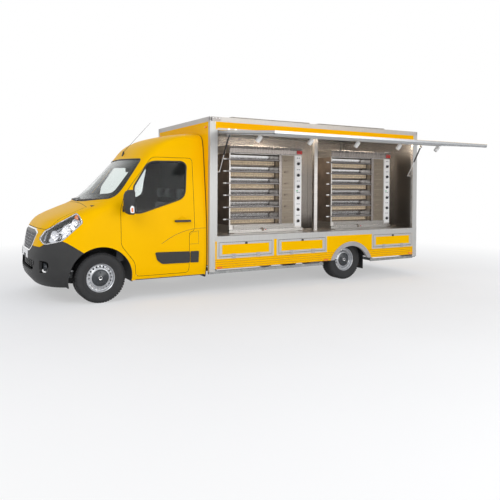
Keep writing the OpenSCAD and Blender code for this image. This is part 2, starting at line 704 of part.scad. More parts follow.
// ---------------------------------------------------------------- locker doors
module locker_door(i) color("gold") in_frame() {
    x = locker_xs[i];
    locker_front(x, half_w - 30, half_w, 0);
    for (h = locker_hinges(x)) translate([h, locker_axis.x, locker_axis.y]) rotate([0, 90, 0]) difference() {
        union() {
            rod_z(-hinge_h / 4 + 1, hinge_h / 4 - 1, 0, 0, barrel_r - 1);
            box([-36, -8, -hinge_h / 4 + 1], [0, -2, hinge_h / 4 - 1]);
        }
        rod_z(-hinge_h, hinge_h, 0, 0, (barrel_r - 1) / 2 + pin_gap);
    }
}

// ---------------------------------------------------------------- wheels
module knuckle(side) color("dimgray") in_frame() mirror([0, side > 0 ? 0 : 1, 0]) {
    difference() {
        box([-45, kingpin_y - 30, 263], [45, wheel_y - 105, 437]);
        rod_z(0, 600, 0, kingpin_y, kingpin_r + pin_gap);
    }
    rod_y(wheel_y - 106, wheel_y + 30, 0, wheel_r, spindle_r);
}
tyre_half = [[rim_r, 0], [rim_r, 100], [rim_r + 14, 108], [270, tyre_w / 2], [305, tyre_w / 2 - 1],
    [332, tyre_w / 2 - 9], [345, tyre_w / 2 - 22], [wheel_r, tyre_w / 2 - 36], [wheel_r, 0]];
module turned_y(x, y) in_frame() translate([x, y, wheel_r]) rotate([y > 0 ? -90 : 90, 0, 0])
    rotate_extrude($fn = 72) children();
module tyre(x, y) color("black") turned_y(x, y)
    polygon(concat(tyre_half, [for (i = [len(tyre_half) - 1:-1:0]) [tyre_half[i].x, -tyre_half[i].y]]));
module rim(x, y) color("silver") turned_y(x, y) polygon([
    [spindle_r + pin_gap, -100], [60, -100], [60, 20], [rim_r - rim_barrel, 40], [rim_r - rim_barrel, -100],
    [rim_r, -100], [rim_r, 100], [rim_r - rim_barrel, 100], [rim_r - rim_barrel, 62], [92, 45], [80, 88], [0, 96],
    [0, 40], [spindle_r + pin_gap, 40]]);

chassis_frame();
rear_axle();
engine_block();
fuel_tank();
exhaust();
cab_shell();
windscreen();
front_wings();
front_bumper();
grille();
headlights();
hood();
dashboard();
steering_wheel();
seats();
side_door(1);  // left_door
door_glass(1);  // left_door_glass
door_mirror(1);  // left_mirror
side_door(-1);  // right_door
door_glass(-1);  // right_door_glass
door_mirror(-1);  // right_mirror
box_floor();
box_front_wall();
box_right_wall();
box_left_wall();
box_rear_wall();
box_roof();
box_edge_frame();
side_skirts();
wheel_arches();
counter();
locker_boxes();
roof_vents();
rear_bumper();
rear_lamps();
rear_door();
rotisserie_cabinets();
rotisserie_burners();
rotisserie_spits();
serving_flap();
flap_spotlights();
strut_cylinder(strut_xs[0]);  // front_strut_cylinder
strut_rod(strut_xs[0]);  // front_strut_rod
strut_cylinder(strut_xs[1]);  // rear_strut_cylinder
strut_rod(strut_xs[1]);  // rear_strut_rod
locker_door(0);  // locker_door_1
locker_door(1);  // locker_door_2
locker_door(2);  // locker_door_3
knuckle(1);  // left_knuckle
knuckle(-1);  // right_knuckle
tyre(0, wheel_y);  // front_left_tyre
rim(0, wheel_y);  // front_left_rim
tyre(0, -wheel_y);  // front_right_tyre
rim(0, -wheel_y);  // front_right_rim
tyre(rear_x, wheel_y);  // rear_left_tyre
rim(rear_x, wheel_y);  // rear_left_rim
tyre(rear_x, -wheel_y);  // rear_right_tyre
rim(rear_x, -wheel_y);  // rear_right_rim
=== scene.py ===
"""Food truck: the looks of its cab, box body, serving flap, ovens and wheels.

Vehicle coordinates are used throughout: metres, x forwards from the front axle, y to the left,
z up from the ground. place() moves them into the part's frame.
"""

import math

import bmesh
import bpy
import numpy as np
from mathutils import Matrix, Vector
from mathutils.bvhtree import BVHTree


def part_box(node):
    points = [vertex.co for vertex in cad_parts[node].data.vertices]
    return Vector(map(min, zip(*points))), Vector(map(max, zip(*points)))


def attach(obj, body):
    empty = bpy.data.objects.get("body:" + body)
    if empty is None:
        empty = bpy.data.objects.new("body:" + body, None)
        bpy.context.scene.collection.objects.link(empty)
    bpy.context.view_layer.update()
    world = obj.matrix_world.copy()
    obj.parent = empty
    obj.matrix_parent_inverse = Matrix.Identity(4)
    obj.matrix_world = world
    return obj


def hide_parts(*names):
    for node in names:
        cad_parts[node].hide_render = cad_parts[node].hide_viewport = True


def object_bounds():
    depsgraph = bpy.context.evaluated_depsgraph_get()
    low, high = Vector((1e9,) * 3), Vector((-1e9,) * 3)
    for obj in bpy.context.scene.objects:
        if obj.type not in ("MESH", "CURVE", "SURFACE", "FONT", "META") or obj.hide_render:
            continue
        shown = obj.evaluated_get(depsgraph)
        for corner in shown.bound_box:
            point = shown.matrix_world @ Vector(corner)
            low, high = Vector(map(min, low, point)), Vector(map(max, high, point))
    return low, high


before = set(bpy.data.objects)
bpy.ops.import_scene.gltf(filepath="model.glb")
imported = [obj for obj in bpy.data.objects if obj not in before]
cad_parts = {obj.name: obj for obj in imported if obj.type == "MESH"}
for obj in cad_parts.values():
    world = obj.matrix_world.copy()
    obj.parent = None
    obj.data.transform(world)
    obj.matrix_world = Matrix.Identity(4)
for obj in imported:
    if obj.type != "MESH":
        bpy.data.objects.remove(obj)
cad_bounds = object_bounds()


def node_mid(name):
    lo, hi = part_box(name)
    return (Vector(lo) + Vector(hi)) / 2


def node_size(name):
    lo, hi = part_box(name)
    return Vector(hi) - Vector(lo)


# ------------------------------------------------------------------ driving sizes, from the frame
FRONT_AXLE = node_mid("front_left_tyre")
REAR_AXLE = node_mid("rear_left_tyre")
TRACK = FRONT_AXLE.y - node_mid("front_right_tyre").y
WHEEL_R = node_size("front_left_tyre").z / 2
TYRE_W = node_size("front_left_tyre").y
RIM_R = node_size("front_left_rim").z / 2
ORIGIN = Vector((FRONT_AXLE.x, FRONT_AXLE.y - TRACK / 2, 0.0))
WHEELBASE = FRONT_AXLE.x - REAR_AXLE.x


def local_box(name):
    """A node's box in vehicle coordinates."""
    lo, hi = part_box(name)
    return Vector(lo) - ORIGIN, Vector(hi) - ORIGIN


FRAME_LO, FRAME_HI = local_box("box_edge_frame")
COUNTER_LO, COUNTER_HI = local_box("counter")
BOX_FRONT, BOX_REAR = FRAME_HI.x, FRAME_LO.x
HALF_W = FRAME_HI.y
ROOF_TOP = FRAME_HI.z
WALL_T = 0.040
INNER_Y = HALF_W - WALL_T
ARCH_R = 0.438
CAB_REAR = BOX_FRONT + 0.018


def link(obj):
    bpy.context.scene.collection.objects.link(obj)


# ------------------------------------------------------------------ materials
def new_material(name):
    mat = bpy.data.materials.new(name)
    mat.use_nodes = True
    nodes, links = mat.node_tree.nodes, mat.node_tree.links
    nodes.clear()
    out = nodes.new("ShaderNodeOutputMaterial")
    shader = nodes.new("ShaderNodeBsdfPrincipled")
    links.new(shader.outputs[0], out.inputs[0])
    return mat, nodes, links, shader


def noise(nodes, links, scale, detail=3.0, stretch=None):
    """Noise on the piece's own coordinates, stretched along an axis if asked."""
    coords = nodes.new("ShaderNodeTexCoord")
    tex = nodes.new("ShaderNodeTexNoise")
    tex.inputs["Scale"].default_value = scale
    tex.inputs["Detail"].default_value = detail
    source = coords.outputs["Object"]
    if stretch:
        mapping = nodes.new("ShaderNodeMapping")
        mapping.inputs["Scale"].default_value = stretch
        links.new(source, mapping.inputs[0])
        source = mapping.outputs[0]
    links.new(source, tex.inputs["Vector"])
    return tex.outputs["Fac"]


def spread(nodes, links, value, low, high):
    """Maps a 0..1 value to low..high."""
    node = nodes.new("ShaderNodeMapRange")
    node.inputs["To Min"].default_value = low
    node.inputs["To Max"].default_value = high
    links.new(value, node.inputs["Value"])
    return node.outputs[0]


def two_tone(nodes, links, value, dark, light):
    ramp = nodes.new("ShaderNodeValToRGB")
    ramp.color_ramp.elements[0].position = 0.3
    ramp.color_ramp.elements[1].position = 0.7
    ramp.color_ramp.elements[0].color = (*dark, 1)
    ramp.color_ramp.elements[1].color = (*light, 1)
    links.new(value, ramp.inputs[0])
    return ramp.outputs[0]


def bump(nodes, links, shader, value, strength, distance):
    node = nodes.new("ShaderNodeBump")
    node.inputs["Strength"].default_value = strength
    node.inputs["Distance"].default_value = distance
    links.new(value, node.inputs["Height"])
    links.new(node.outputs[0], shader.inputs["Normal"])


def math_node(nodes, links, operation, *values):
    """A Math node whose inputs are outputs of other nodes, or plain numbers."""
    node = nodes.new("ShaderNodeMath")
    node.operation = operation
    for socket, value in zip(node.inputs, values):
        if isinstance(value, bpy.types.NodeSocket):
            links.new(value, socket)
        else:
            socket.default_value = value
    return node.outputs[0]


def colour_mix(nodes, links, factor, first, second):
    node = nodes.new("ShaderNodeMix")
    node.data_type = "RGBA"
    links.new(factor, node.inputs["Factor"])
    links.new(first, node.inputs["A"])
    links.new(second, node.inputs["B"])
    return node.outputs["Result"]


def seen_by_camera(nodes, links):
    """1 for what the camera sees, also through glass or in a reflection, and 0 for the light on the object."""
    path = nodes.new("ShaderNodeLightPath").outputs
    straight = math_node(nodes, links, "MAXIMUM", path["Is Camera Ray"], path["Is Transmission Ray"])
    return math_node(nodes, links, "MAXIMUM", straight, path["Is Glossy Ray"])


def finish_material(name, colour, rough=0.5, metal=0.0, vary=0.06, scale=6.0, rough_vary=0.08, grain=None,
        grain_depth=0.0004, coat=0.0, stretch=None, sheen=0.0, spec=0.5):
    """One opaque finish: colour and roughness drift gently, with a fine grain in the bump."""
    mat, nodes, links, shader = new_material(name)
    drift = noise(nodes, links, scale, stretch=stretch)
    dark = [c * (1 - vary) for c in colour]
    light = [min(1.0, c * (1 + vary)) for c in colour]
    links.new(two_tone(nodes, links, drift, dark, light), shader.inputs["Base Color"])
    links.new(spread(nodes, links, drift, max(0.02, rough - rough_vary), rough + rough_vary),
        shader.inputs["Roughness"])
    shader.inputs["Metallic"].default_value = metal
    shader.inputs["Coat Weight"].default_value = coat
    shader.inputs["Coat Roughness"].default_value = 0.04
    shader.inputs["Specular IOR Level"].default_value = spec
    shader.inputs["Sheen Weight"].default_value = sheen
    if grain:
        bump(nodes, links, shader, noise(nodes, links, grain, 4.0, stretch), 0.5, grain_depth)
    mat.diffuse_color = (*colour, 1)
    return mat


def glass_material(name, tint, rough=0.0, ior=1.45):
    mat, nodes, links, shader = new_material(name)
    drift = noise(nodes, links, 2.0)
    dark = [c * 0.97 for c in tint]
    links.new(two_tone(nodes, links, drift, dark, tint), shader.inputs["Base Color"])
    shader.inputs["Roughness"].default_value = rough
    shader.inputs["Transmission Weight"].default_value = 1.0
    shader.inputs["IOR"].default_value = ior
    return mat


YELLOW = (1.0, 0.535, 0.0)
M = {
    "paint": finish_material("yellow_paint", YELLOW, 0.34, vary=0.02, scale=1.5, rough_vary=0.04,
                             grain=180.0, grain_depth=0.00004, spec=0.03),
    "foil": finish_material("yellow_panel", YELLOW, 0.42, vary=0.025, scale=2.0, spec=0.02),
    "alu": finish_material("anodised_aluminium", (0.48, 0.475, 0.46), 0.42, 0.45, 0.05, 5.0,
                           grain=60.0, grain_depth=0.0001, stretch=(8, 1, 1)),
    "cap": finish_material("corner_cap", (0.50, 0.48, 0.47), 0.5, 0.0, 0.06, 12.0, grain=150.0),
    "steel": finish_material("brushed_stainless", (0.56, 0.535, 0.51), 0.36, 1.0, 0.12, 3.0, 0.10,
                             grain=40.0, grain_depth=0.00006, stretch=(1, 1, 30)),
    "bright": finish_material("polished_stainless", (0.50, 0.49, 0.475), 0.22, 1.0, 0.08, 4.0, 0.06,
                              grain=30.0, grain_depth=0.0001, stretch=(30, 1, 1)),
    "flap_edge": finish_material("flap_edge_rail", (0.27, 0.275, 0.28), 0.6, 0.0, 0.06, 5.0, grain=60.0,
                                 grain_depth=0.0001, stretch=(8, 1, 1), spec=0.2),
    "chrome": finish_material("chrome", (0.82, 0.82, 0.83), 0.07, 1.0, 0.03, 8.0, 0.03),
    "galv": finish_material("galvanised", (0.30, 0.31, 0.315), 0.45, 0.8, 0.18, 22.0, grain=90.0),
    "dark_metal": finish_material("dark_metal", (0.05, 0.05, 0.055), 0.5, 0.6, 0.2, 12.0, grain=80.0),
    "cast": finish_material("cast_metal", (0.22, 0.22, 0.23), 0.6, 0.7, 0.2, 15.0, grain=120.0),
    "bumper": finish_material("textured_plastic", (0.020, 0.020, 0.020), 0.6, 0.0, 0.15, 10.0,
                              grain=700.0, grain_depth=0.0003),
    "black": finish_material("black_plastic", (0.012, 0.012, 0.013), 0.35, 0.0, 0.2, 8.0, grain=300.0),
    "seal": finish_material("rubber_seal", (0.012, 0.012, 0.013), 0.6, 0.0, 0.2, 12.0, grain=200.0),
    "dash": finish_material("dashboard_plastic", (0.030, 0.031, 0.033), 0.6, 0.0, 0.15, 9.0, grain=500.0),
    "tyre": finish_material("tyre_rubber", (0.020, 0.020, 0.021), 0.72, 0.0, 0.25, 14.0, grain=260.0),
    "rim": finish_material("wheel_silver", (0.48, 0.49, 0.51), 0.32, 0.75, 0.06, 9.0, grain=150.0,
                           grain_depth=0.0001),
    "hub": finish_material("hub_cap", (0.035, 0.040, 0.046), 0.28, 0.1, 0.15, 9.0, grain=200.0),
    "grey": finish_material("grey_plastic", (0.42, 0.41, 0.41), 0.5, 0.0, 0.07, 9.0, grain=300.0),
    "floor": finish_material("floor_covering", (0.16, 0.16, 0.165), 0.6, 0.0, 0.25, 90.0, grain=160.0),
    "white": finish_material("white_enamel", (0.92, 0.91, 0.89), 0.35, 0.0, 0.04, 9.0, grain=200.0),
    "flap": finish_material("flap_lining", (0.58, 0.59, 0.60), 0.5, 0.1, 0.06, 4.0,
                            grain=30.0, grain_depth=0.0001, stretch=(1, 12, 12)),
    "ceramic": finish_material("burner_ceramic", (0.88, 0.67, 0.47), 0.8, 0.0, 0.25, 40.0, grain=160.0,
                               grain_depth=0.001),
    "red": finish_material("red_lamp", (0.50, 0.012, 0.012), 0.2, 0.0, 0.1, 30.0, coat=0.5),
    "orange": finish_material("orange_lamp", (0.95, 0.20, 0.01), 0.2, 0.0, 0.1, 30.0, coat=0.5),
    "green": finish_material("green_light", (0.02, 0.45, 0.15), 0.3, 0.0, 0.1, 30.0),
    "reflector": finish_material("lamp_reflector", (0.80, 0.81, 0.83), 0.12, 1.0, 0.05, 20.0),
    "cloth": finish_material("seat_cloth", (0.104, 0.106, 0.118), 0.9, 0.0, 0.3, 60.0, grain=420.0,
                             grain_depth=0.001, sheen=0.3),
    "inside": finish_material("cab_lining", (0.045, 0.045, 0.048), 0.75, 0.0, 0.08, 9.0, grain=260.0),
    "glass": glass_material("window_glass", (0.86, 0.90, 0.89), ior=1.17),
    "lens": glass_material("lamp_lens", (0.95, 0.96, 0.98)),
}


# ------------------------------------------------------------------ pieces
# Edges sharper than these stay sharp in the shading, or are bevelled
SHARP, PANEL_SHARP, BEVEL_ANGLE = math.radians(35), math.radians(30), math.radians(40)


def place(obj, body, stands_for=()):
    """Moves a piece built in vehicle coordinates into the frame, hangs it on its body, and hides the CAD parts
    it stands for.
    """
    obj.data.transform(Matrix.Translation(ORIGIN))
    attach(obj, body)
    if stands_for:
        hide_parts(*stands_for)
    return obj


def mesh_object(name, verts, faces, mat, smooth=True):
    mesh = bpy.data.meshes.new(name)
    mesh.from_pydata([tuple(v) for v in verts], [], faces)
    mesh.validate()
    mesh.update()
    obj = bpy.data.objects.new(name, mesh)
    link(obj)
    if mat:
        mesh.materials.append(M[mat])
    if smooth:
        mesh.shade_smooth()
        mesh.set_sharp_from_angle(angle=SHARP)
    return obj


def apply_modifier(obj, name):
    with bpy.context.temp_override(object=obj, active_object=obj, selected_objects=[obj]):
        bpy.ops.object.modifier_apply(modifier=name)


def cut(obj, other, kind="DIFFERENCE"):
    """Cuts obj by a solid, or keeps their common part, and uses the solid up."""
    mod = obj.modifiers.new("cut", "BOOLEAN")
    mod.operation = kind
    mod.object = other
    mod.solver = "MANIFOLD"
    apply_modifier(obj, mod.name)
    bpy.data.objects.remove(other, do_unlink=True)
    return obj


class Build:
    """Collects simple closed forms into one piece."""

    def __init__(self, name):
        self.name, self.bm = name, bmesh.new()

    def box(self, a, b):
        lo = [min(p, q) for p, q in zip(a, b)]
        hi = [max(p, q) for p, q in zip(a, b)]
        size = Matrix.Diagonal((*[h - l for l, h in zip(lo, hi)], 1))
        mid = Matrix.Translation([(h + l) / 2 for l, h in zip(lo, hi)])
        bmesh.ops.create_cube(self.bm, size=1, matrix=mid @ size)
        return self

    def turned_box(self, mid, size, angle, axis):
        matrix = Matrix.Translation(mid) @ Matrix.Rotation(angle, 4, axis)
        bmesh.ops.create_cube(self.bm, size=1, matrix=matrix @ Matrix.Diagonal((*size, 1)))
        return self

    def rod(self, p, q, r, r2=None, sides=24):
        p, q = Vector(p), Vector(q)
        turn = (q - p).to_track_quat("Z", "Y").to_matrix().to_4x4()
        bmesh.ops.create_cone(self.bm, cap_ends=True, segments=sides, radius1=r, depth=(q - p).length, radius2=r
            if r2 is None else r2, matrix=Matrix.Translation((p + q) / 2) @ turn)
        return self

    def lathe(self, profile, mid, axis="Y", sides=64):
        """Turns a closed [radius, along] outline round an axis through mid."""
        rings = []
        self.last = []
        for i in range(sides):
            a = 2 * math.pi * i / sides
            ring = []
            for r, t in profile:
                u, v = r * math.cos(a), r * math.sin(a)
                p = (u, t, v) if axis == "Y" else (t, u, v) if axis == "X" else (u, v, t)
                ring.append(self.bm.verts.new(Vector(mid) + Vector(p)))
            rings.append(ring)
            self.last += ring
        n = len(profile)
        for i in range(sides):
            a, b = rings[i], rings[(i + 1) % sides]
            for k in range(n):
                j = (k + 1) % n
                self.bm.faces.new((a[k], a[j], b[j], b[k]))
        return self

    def tube(self, points, r, sides=10):
        for p, q in zip(points, points[1:]):
            self.rod(p, q, r, sides=sides)
        for p in points[1:-1]:
            bmesh.ops.create_uvsphere(self.bm, u_segments=sides, v_segments=6, radius=r,
                matrix=Matrix.Translation(p))
        return self

    def prism(self, outline, lo, hi, axis="Y"):
        def point(a, b, c):
            return (a, c, b) if axis == "Y" else (c, a, b) if axis == "X" else (a, b, c)
        rings = [[self.bm.verts.new(point(a, b, c)) for a, b in outline] for c in (lo, hi)]
        n = len(outline)
        self.bm.faces.new(rings[0])
        self.bm.faces.new(rings[1][::-1])
        for k in range(n):
            j = (k + 1) % n
            self.bm.faces.new((rings[0][k], rings[1][k], rings[1][j], rings[0][j]))
        return self

    def done(self, mat, bevel=0.0, segments=2):
        bmesh.ops.recalc_face_normals(self.bm, faces=self.bm.faces[:])
        mesh = bpy.data.meshes.new(self.name)
        self.bm.to_mesh(mesh)
        self.bm.free()
        obj = bpy.data.objects.new(self.name, mesh)
        link(obj)
        if mat:
            mesh.materials.append(M[mat])
        mesh.shade_smooth()
        mesh.set_sharp_from_angle(angle=SHARP)
        if bevel:
            soften(obj, bevel, segments)
        return obj


def put(build, mat, bevel=0.0, stands_for=(), body="vehicle"):
    """Finishes what a Build holds and places it, on the vehicle unless a body is named."""
    return place(build.done(mat, bevel), body, stands_for)


def soften(obj, width, segments=2):
    mod = obj.modifiers.new("edges", "BEVEL")
    mod.width = width
    mod.segments = segments
    mod.limit_method = "ANGLE"
    mod.angle_limit = BEVEL_ANGLE
    mod.harden_normals = True


def rounded(outline, r, steps=5):
    """Rounds an outline's corners with arcs of about radius r."""
    pts = [Vector(p) for p in outline]
    out = []
    for i, p in enumerate(pts):
        a, b = pts[i - 1] - p, pts[(i + 1) % len(pts)] - p
        reach = min(r, a.length * 0.45, b.length * 0.45)
        start, end = p + a.normalized() * reach, p + b.normalized() * reach
        for k in range(steps + 1):
            t = k / steps
            out.append(tuple(start * (1 - t) ** 2 + p * 2 * t * (1 - t) + end * t ** 2))
    return out


def inset(outline, d):
    """Moves every side of an outline inwards by d."""
    pts = [Vector(p) for p in outline]
    area = sum(a.x * b.y - b.x * a.y for a, b in zip(pts, pts[1:] + pts[:1]))
    sign = 1 if area > 0 else -1
    out = []
    for i, p in enumerate(pts):
        a, b = (p - pts[i - 1]).normalized(), (pts[(i + 1) % len(pts)] - p).normalized()
        n = (Vector((-a.y, a.x)) + Vector((-b.y, b.x)))
        n = n / max(0.25, n.dot(Vector((-a.y, a.x))))
        out.append(tuple(p + n * d * sign))
    return out


# ------------------------------------------------------------------ cab surface
# One row per height, in mm: height, nose x, x where the flat side starts, half width, squareness
CAB_ROWS = [
    (250, 760, 150, 985, 3.0), (350, 835, 150, 1015, 3.0), (470, 860, 150, 1034, 3.0),
    (650, 860, 150, 1036, 3.1), (760, 832, 140, 1036, 3.2), (940, 790, 80, 1032, 3.3),
    (1050, 745, 20, 1027, 3.3), (1140, 672, -40, 1020, 3.3), (1215, 545, -90, 1013, 3.2),
    (1300, 345, -170, 1005, 3.0), (1380, 165, -300, 997, 2.6), (1560, -45, -500, 975, 2.1),
    (1800, -288, -650, 945, 2.1), (2060, -550, -790, 912, 2.2), (2260, -718, -1000, 882, 2.3),
    (2390, -965, -1300, 832, 2.4), (2440, -1190, -1440, 740, 2.4), (2468, -1400, -1500, 560, 2.4),
    (2474, -1500, -1560, 300, 2.2),
]


def smooth_rows(rows, steps):
    """Rows in between the given ones, on smooth curves that never overshoot."""
    data = np.array(rows, float)
    span = np.sqrt(np.diff(data[:, 0]) ** 2 + (0.6 * np.diff(data[:, 1])) ** 2 + np.diff(data[:, 3]) ** 2)
    t = np.concatenate([[0], np.cumsum(span)])
    step = np.diff(t)[:, None]
    slope = np.diff(data, axis=0) / step
    tangent = np.zeros_like(data)
    same = slope[:-1] * slope[1:] > 0
    w1, w2 = 2 * step[1:] + step[:-1], step[1:] + 2 * step[:-1]
    with np.errstate(divide="ignore", invalid="ignore"):
        harmonic = (w1 + w2) / (w1 / slope[:-1] + w2 / slope[1:])
    tangent[1:-1] = np.where(same, harmonic, 0)
    tangent[0], tangent[-1] = slope[0], slope[-1]
    at = np.linspace(0, t[-1], steps)
    k = np.clip(np.searchsorted(t, at, side="right") - 1, 0, len(t) - 2)
    h = step[k]
    u = ((at - t[k]) / h[:, 0])[:, None]
    out = ((2 * u ** 3 - 3 * u ** 2 + 1) * data[k] + (u ** 3 - 2 * u ** 2 + u) * h * tangent[k]
        + (-2 * u ** 3 + 3 * u ** 2) * data[k + 1] + (u ** 3 - u ** 2) * h * tangent[k + 1])
    return out


ROWS = smooth_rows(CAB_ROWS, 110)
ROWS[:, :4] /= 1000.0
QUARTER = 26


def section_at(z):
    """(nose x, side x, half width, squareness) of the cab at a height."""
    return [float(np.interp(z, ROWS[:, 0], ROWS[:, c])) for c in (1, 2, 3, 4)]


def side_y(x, z):
    """Half width of the cab's skin at a point of its side view."""
    nose, side, w, p = section_at(z)
    if x <= side:
        return w
    u = min(1.0, (x - side) / (nose - side))
    return w * (1 - u ** p) ** (1 / p)


def nose_x(y, z):
    """The skin's x at a point of the front view."""
    nose, side, w, p = section_at(z)
    v = min(1.0, abs(y) / w)
    return side + (nose - side) * (1 - v ** p) ** (1 / p)


def cab_solid(inset):
    """The closed cab form, moved inwards by inset (outwards if negative)."""
    verts, faces = [], []
    angles = np.linspace(0, math.pi / 2, QUARTER + 1)
    for z, nose, side, w, p in ROWS:
        nose, side, w, z = nose - inset, side - inset, max(0.01, w - inset), z - inset
        rear = CAB_REAR + max(0.0, inset)
        ring = [(rear, w, z)]
        ring += [(side + (nose - side) * math.sin(a) ** (2 / p) if a > 0 else side, w * math.cos(a) ** (2 / p)
            if a < math.pi / 2 - 1e-6 else 0.0, z) for a in angles]
        ring += [(x, -y, z) for x, y, z in reversed(ring[1:-1])] + [(rear, -w, z)]
        verts += ring
    n, m = len(ring), len(ROWS)
    faces.append(list(range(n)))
    faces.append([(m - 1) * n + i for i in reversed(range(n))])
    for k in range(m - 1):
        for i in range(n):
            j = (i + 1) % n
            faces.append([k * n + j, k * n + i, (k + 1) * n + i, (k + 1) * n + j])
    obj = mesh_object("cab_form", verts, faces, None)
    bm = bmesh.new()
    bm.from_mesh(obj.data)
    bmesh.ops.recalc_face_normals(bm, faces=bm.faces[:])
    if bm.calc_volume(signed=True) < 0:
        bmesh.ops.reverse_faces(bm, faces=bm.faces[:])
    bm.to_mesh(obj.data)
    bm.free()
    return obj


SKINS = {}


def cab_skin(name, thickness, out=0.0):
    """A copy of the cab's shell between two depths below its surface."""
    key = (round(thickness, 4), round(out, 4))
    if key not in SKINS:
        SKINS[key] = cut(cab_solid(-out), cab_solid(thickness))
        SKINS[key].hide_render = True
    obj = SKINS[key].copy()
    obj.data = SKINS[key].data.copy()
    obj.name = name
    obj.hide_render = False
    link(obj)
    return obj


def outline_prism(outline, lo=-2.0, hi=2.0, axis="Y"):
    return Build("cutter").prism([(a / 1000.0, b / 1000.0) for a, b in outline], lo, hi, axis).done(None)


def block(a, b):
    return Build("cutter").box([c / 1000.0 for c in a], [c / 1000.0 for c in b]).done(None)


def cylinder_y(x, z, r, lo, hi, sides=96):
    return Build("cutter").rod((x, lo, z), (x, hi, z), r, sides=sides).done(None)


def finish_panel(obj, mat, inner_mat=None, thickness=0.0):
    """Gives a cut panel its finish, with another one on its inner face, and clean shading."""
    mesh = obj.data
    mesh.materials.clear()
    mesh.materials.append(M[mat])
    if inner_mat:
        mesh.materials.append(M[inner_mat])
        outer = cab_solid(0)
        tree = BVHTree.FromPolygons([v.co for v in outer.data.vertices],
            [p.vertices[:] for p in outer.data.polygons])
        bpy.data.objects.remove(outer, do_unlink=True)
        for face in mesh.polygons:
            near = tree.find_nearest(face.center)
            face.material_index = 1 if near[3] > thickness * 0.3 else 0
    mesh.shade_smooth()
    mesh.set_sharp_from_angle(angle=PANEL_SHARP)
    return obj


WING_REAR = -268
GAP = 6
DOOR = [(WING_REAR - GAP, 800), (WING_REAR - GAP, 1320), (-335, 1500), (-745, 2042), (-800, 2062),
    (-1395, 2062), (-1395, 975), (-1307, 945), (-1307, 345), (-490, 345), (-478, 540)]
WINDOW = [(-420, 1258), (-462, 1440), (-480, 1630), (-677, 1935), (-725, 1980), (-800, 2000), (-1224, 2007),
    (-1270, 1985), (-1295, 1941), (-1262, 1560), (-1235, 1490), (-1180, 1448), (-1123, 1428), (-600, 1262),
    (-536, 1250)]
SCREEN = [(-905, 1455), (-450, 1412), (0, 1400), (450, 1412), (905, 1455), (800, 2045), (0, 2062), (-800, 2045)]
HEADLIGHT = [(300, 1262), (248, 1130), (520, 885), (722, 828), (760, 900), (700, 1010), (540, 1130)]
BUMPER = [(-300, 150), (950, 150), (950, 790), (760, 790), (722, 828), (520, 885), (455, 855), (240, 712),
    (0, 600), (-300, 600)]
GRILLE = [(-430, 800), (-330, 710), (330, 710), (430, 800), (520, 985), (330, 1030), (-330, 1030), (-520, 985)]
WINGS = [(WING_REAR, 1445), (144, 1384), (144, 1600), (950, 1600), (950, 150), (WING_REAR, 150)]
DOOR_R = rounded(DOOR, 60)
WINDOW_R = rounded(WINDOW, 30)
SHELL_T, PANEL_T, BUMPER_T = 0.055, 0.022, 0.034
HEADLIGHT_INNER = 545
SCREEN_X, GRILLE_X, GRILLE_CUT_X = (-0.9, 0.6), (0.4, 0.95), (0.5, 0.95)
LEFT, RIGHT = (0.3, 1.5), (-1.5, -0.3)
SIDES = ((1, LEFT, "left"), (-1, RIGHT, "right"))


def arch_cutters(obj):
    for s in (1, -1):
        obj = cut(obj, cylinder_y(0, WHEEL_R, ARCH_R, s * 0.54, s * 1.5))
    return obj


def headlight_cutter(side, grow):
    """The headlight's opening, widened by grow mm all round."""
    outline = rounded(inset(HEADLIGHT, -grow) if grow else HEADLIGHT, 30)
    return outline_prism(outline, *sorted((side * (HEADLIGHT_INNER - grow) / 1000, side * 1.5)))


def bumper_slot(outline, rear):
    """Cuts a rounded slot, drawn in metres on the front view, through the bumper."""
    cut(bumper, Build("cutter").prism(rounded(outline, 0.05), rear, 1.0, "X").done(None))


def hood_cutter(grow):
    """The space of the bonnet, without the headlights, widened by grow mm."""
    body = block((156 - grow, -780 - grow, 1036 - grow), (950, 780 + grow, 1600))
    for s in (1, -1):
        body = cut(body, headlight_cutter(s, GAP - grow))
    return body


# Cab body
shell = cab_skin("cab_body", SHELL_T)
cut(shell, outline_prism(WINGS))
cut(shell, block((-9000, -9000, 0), (9000, 9000, 285)))
cut(shell, outline_prism(inset(DOOR_R, -GAP)))
cut(shell, outline_prism(rounded(inset(SCREEN, -1), 60), *SCREEN_X, "X"))
arch_cutters(shell)
cut(shell, block((-1700, -880, 0), (-1525, 880, 430)))
finish_panel(shell, "paint", "inside", SHELL_T)
place(shell, "vehicle", ["cab_shell"])

inner = Build("cab_floor_and_bulkhead")
inner.box((CAB_REAR + 0.01, -0.95, 0.43), (-0.56, 0.95, 0.47))
inner.box((-0.57, -0.54, 0.43), (-0.32, 0.54, 0.47)).box((-0.33, -0.9, 0.64), (-0.30, 0.9, 1.372))
inner.box((-0.33, -0.54, 0.43), (-0.30, 0.54, 0.66)).box((-0.33, -0.85, 1.33), (0.10, 0.85, 1.36))
for s in (1, -1):
    inner.box((CAB_REAR + 0.01, s * 0.89, 0.285), (-0.49, s * 1.0, 0.335))
    inner.box((-0.34, s * 0.86, 0.56), (-0.24, s * 0.915, 1.30))
put(inner, "inside", 0.004)
liner = Build("front_wheel_tubs")
for s in (1, -1):
    steps = 28
    arc = [(math.cos(math.radians(a)), math.sin(math.radians(a))) for a in np.linspace(-14, 190, steps)]
    outer = [(ARCH_R * 1.045 * c, WHEEL_R + ARCH_R * 1.045 * k) for c, k in arc]
    inside = [((ARCH_R + 0.004) * c, WHEEL_R + (ARCH_R + 0.004) * k) for c, k in reversed(arc)]
    liner.prism(outer + inside, s * 0.53, s * 0.985)
    liner.box((-0.44, s * 0.530, 0.42), (0.44, s * 0.536, 0.78))
put(liner, "seal")

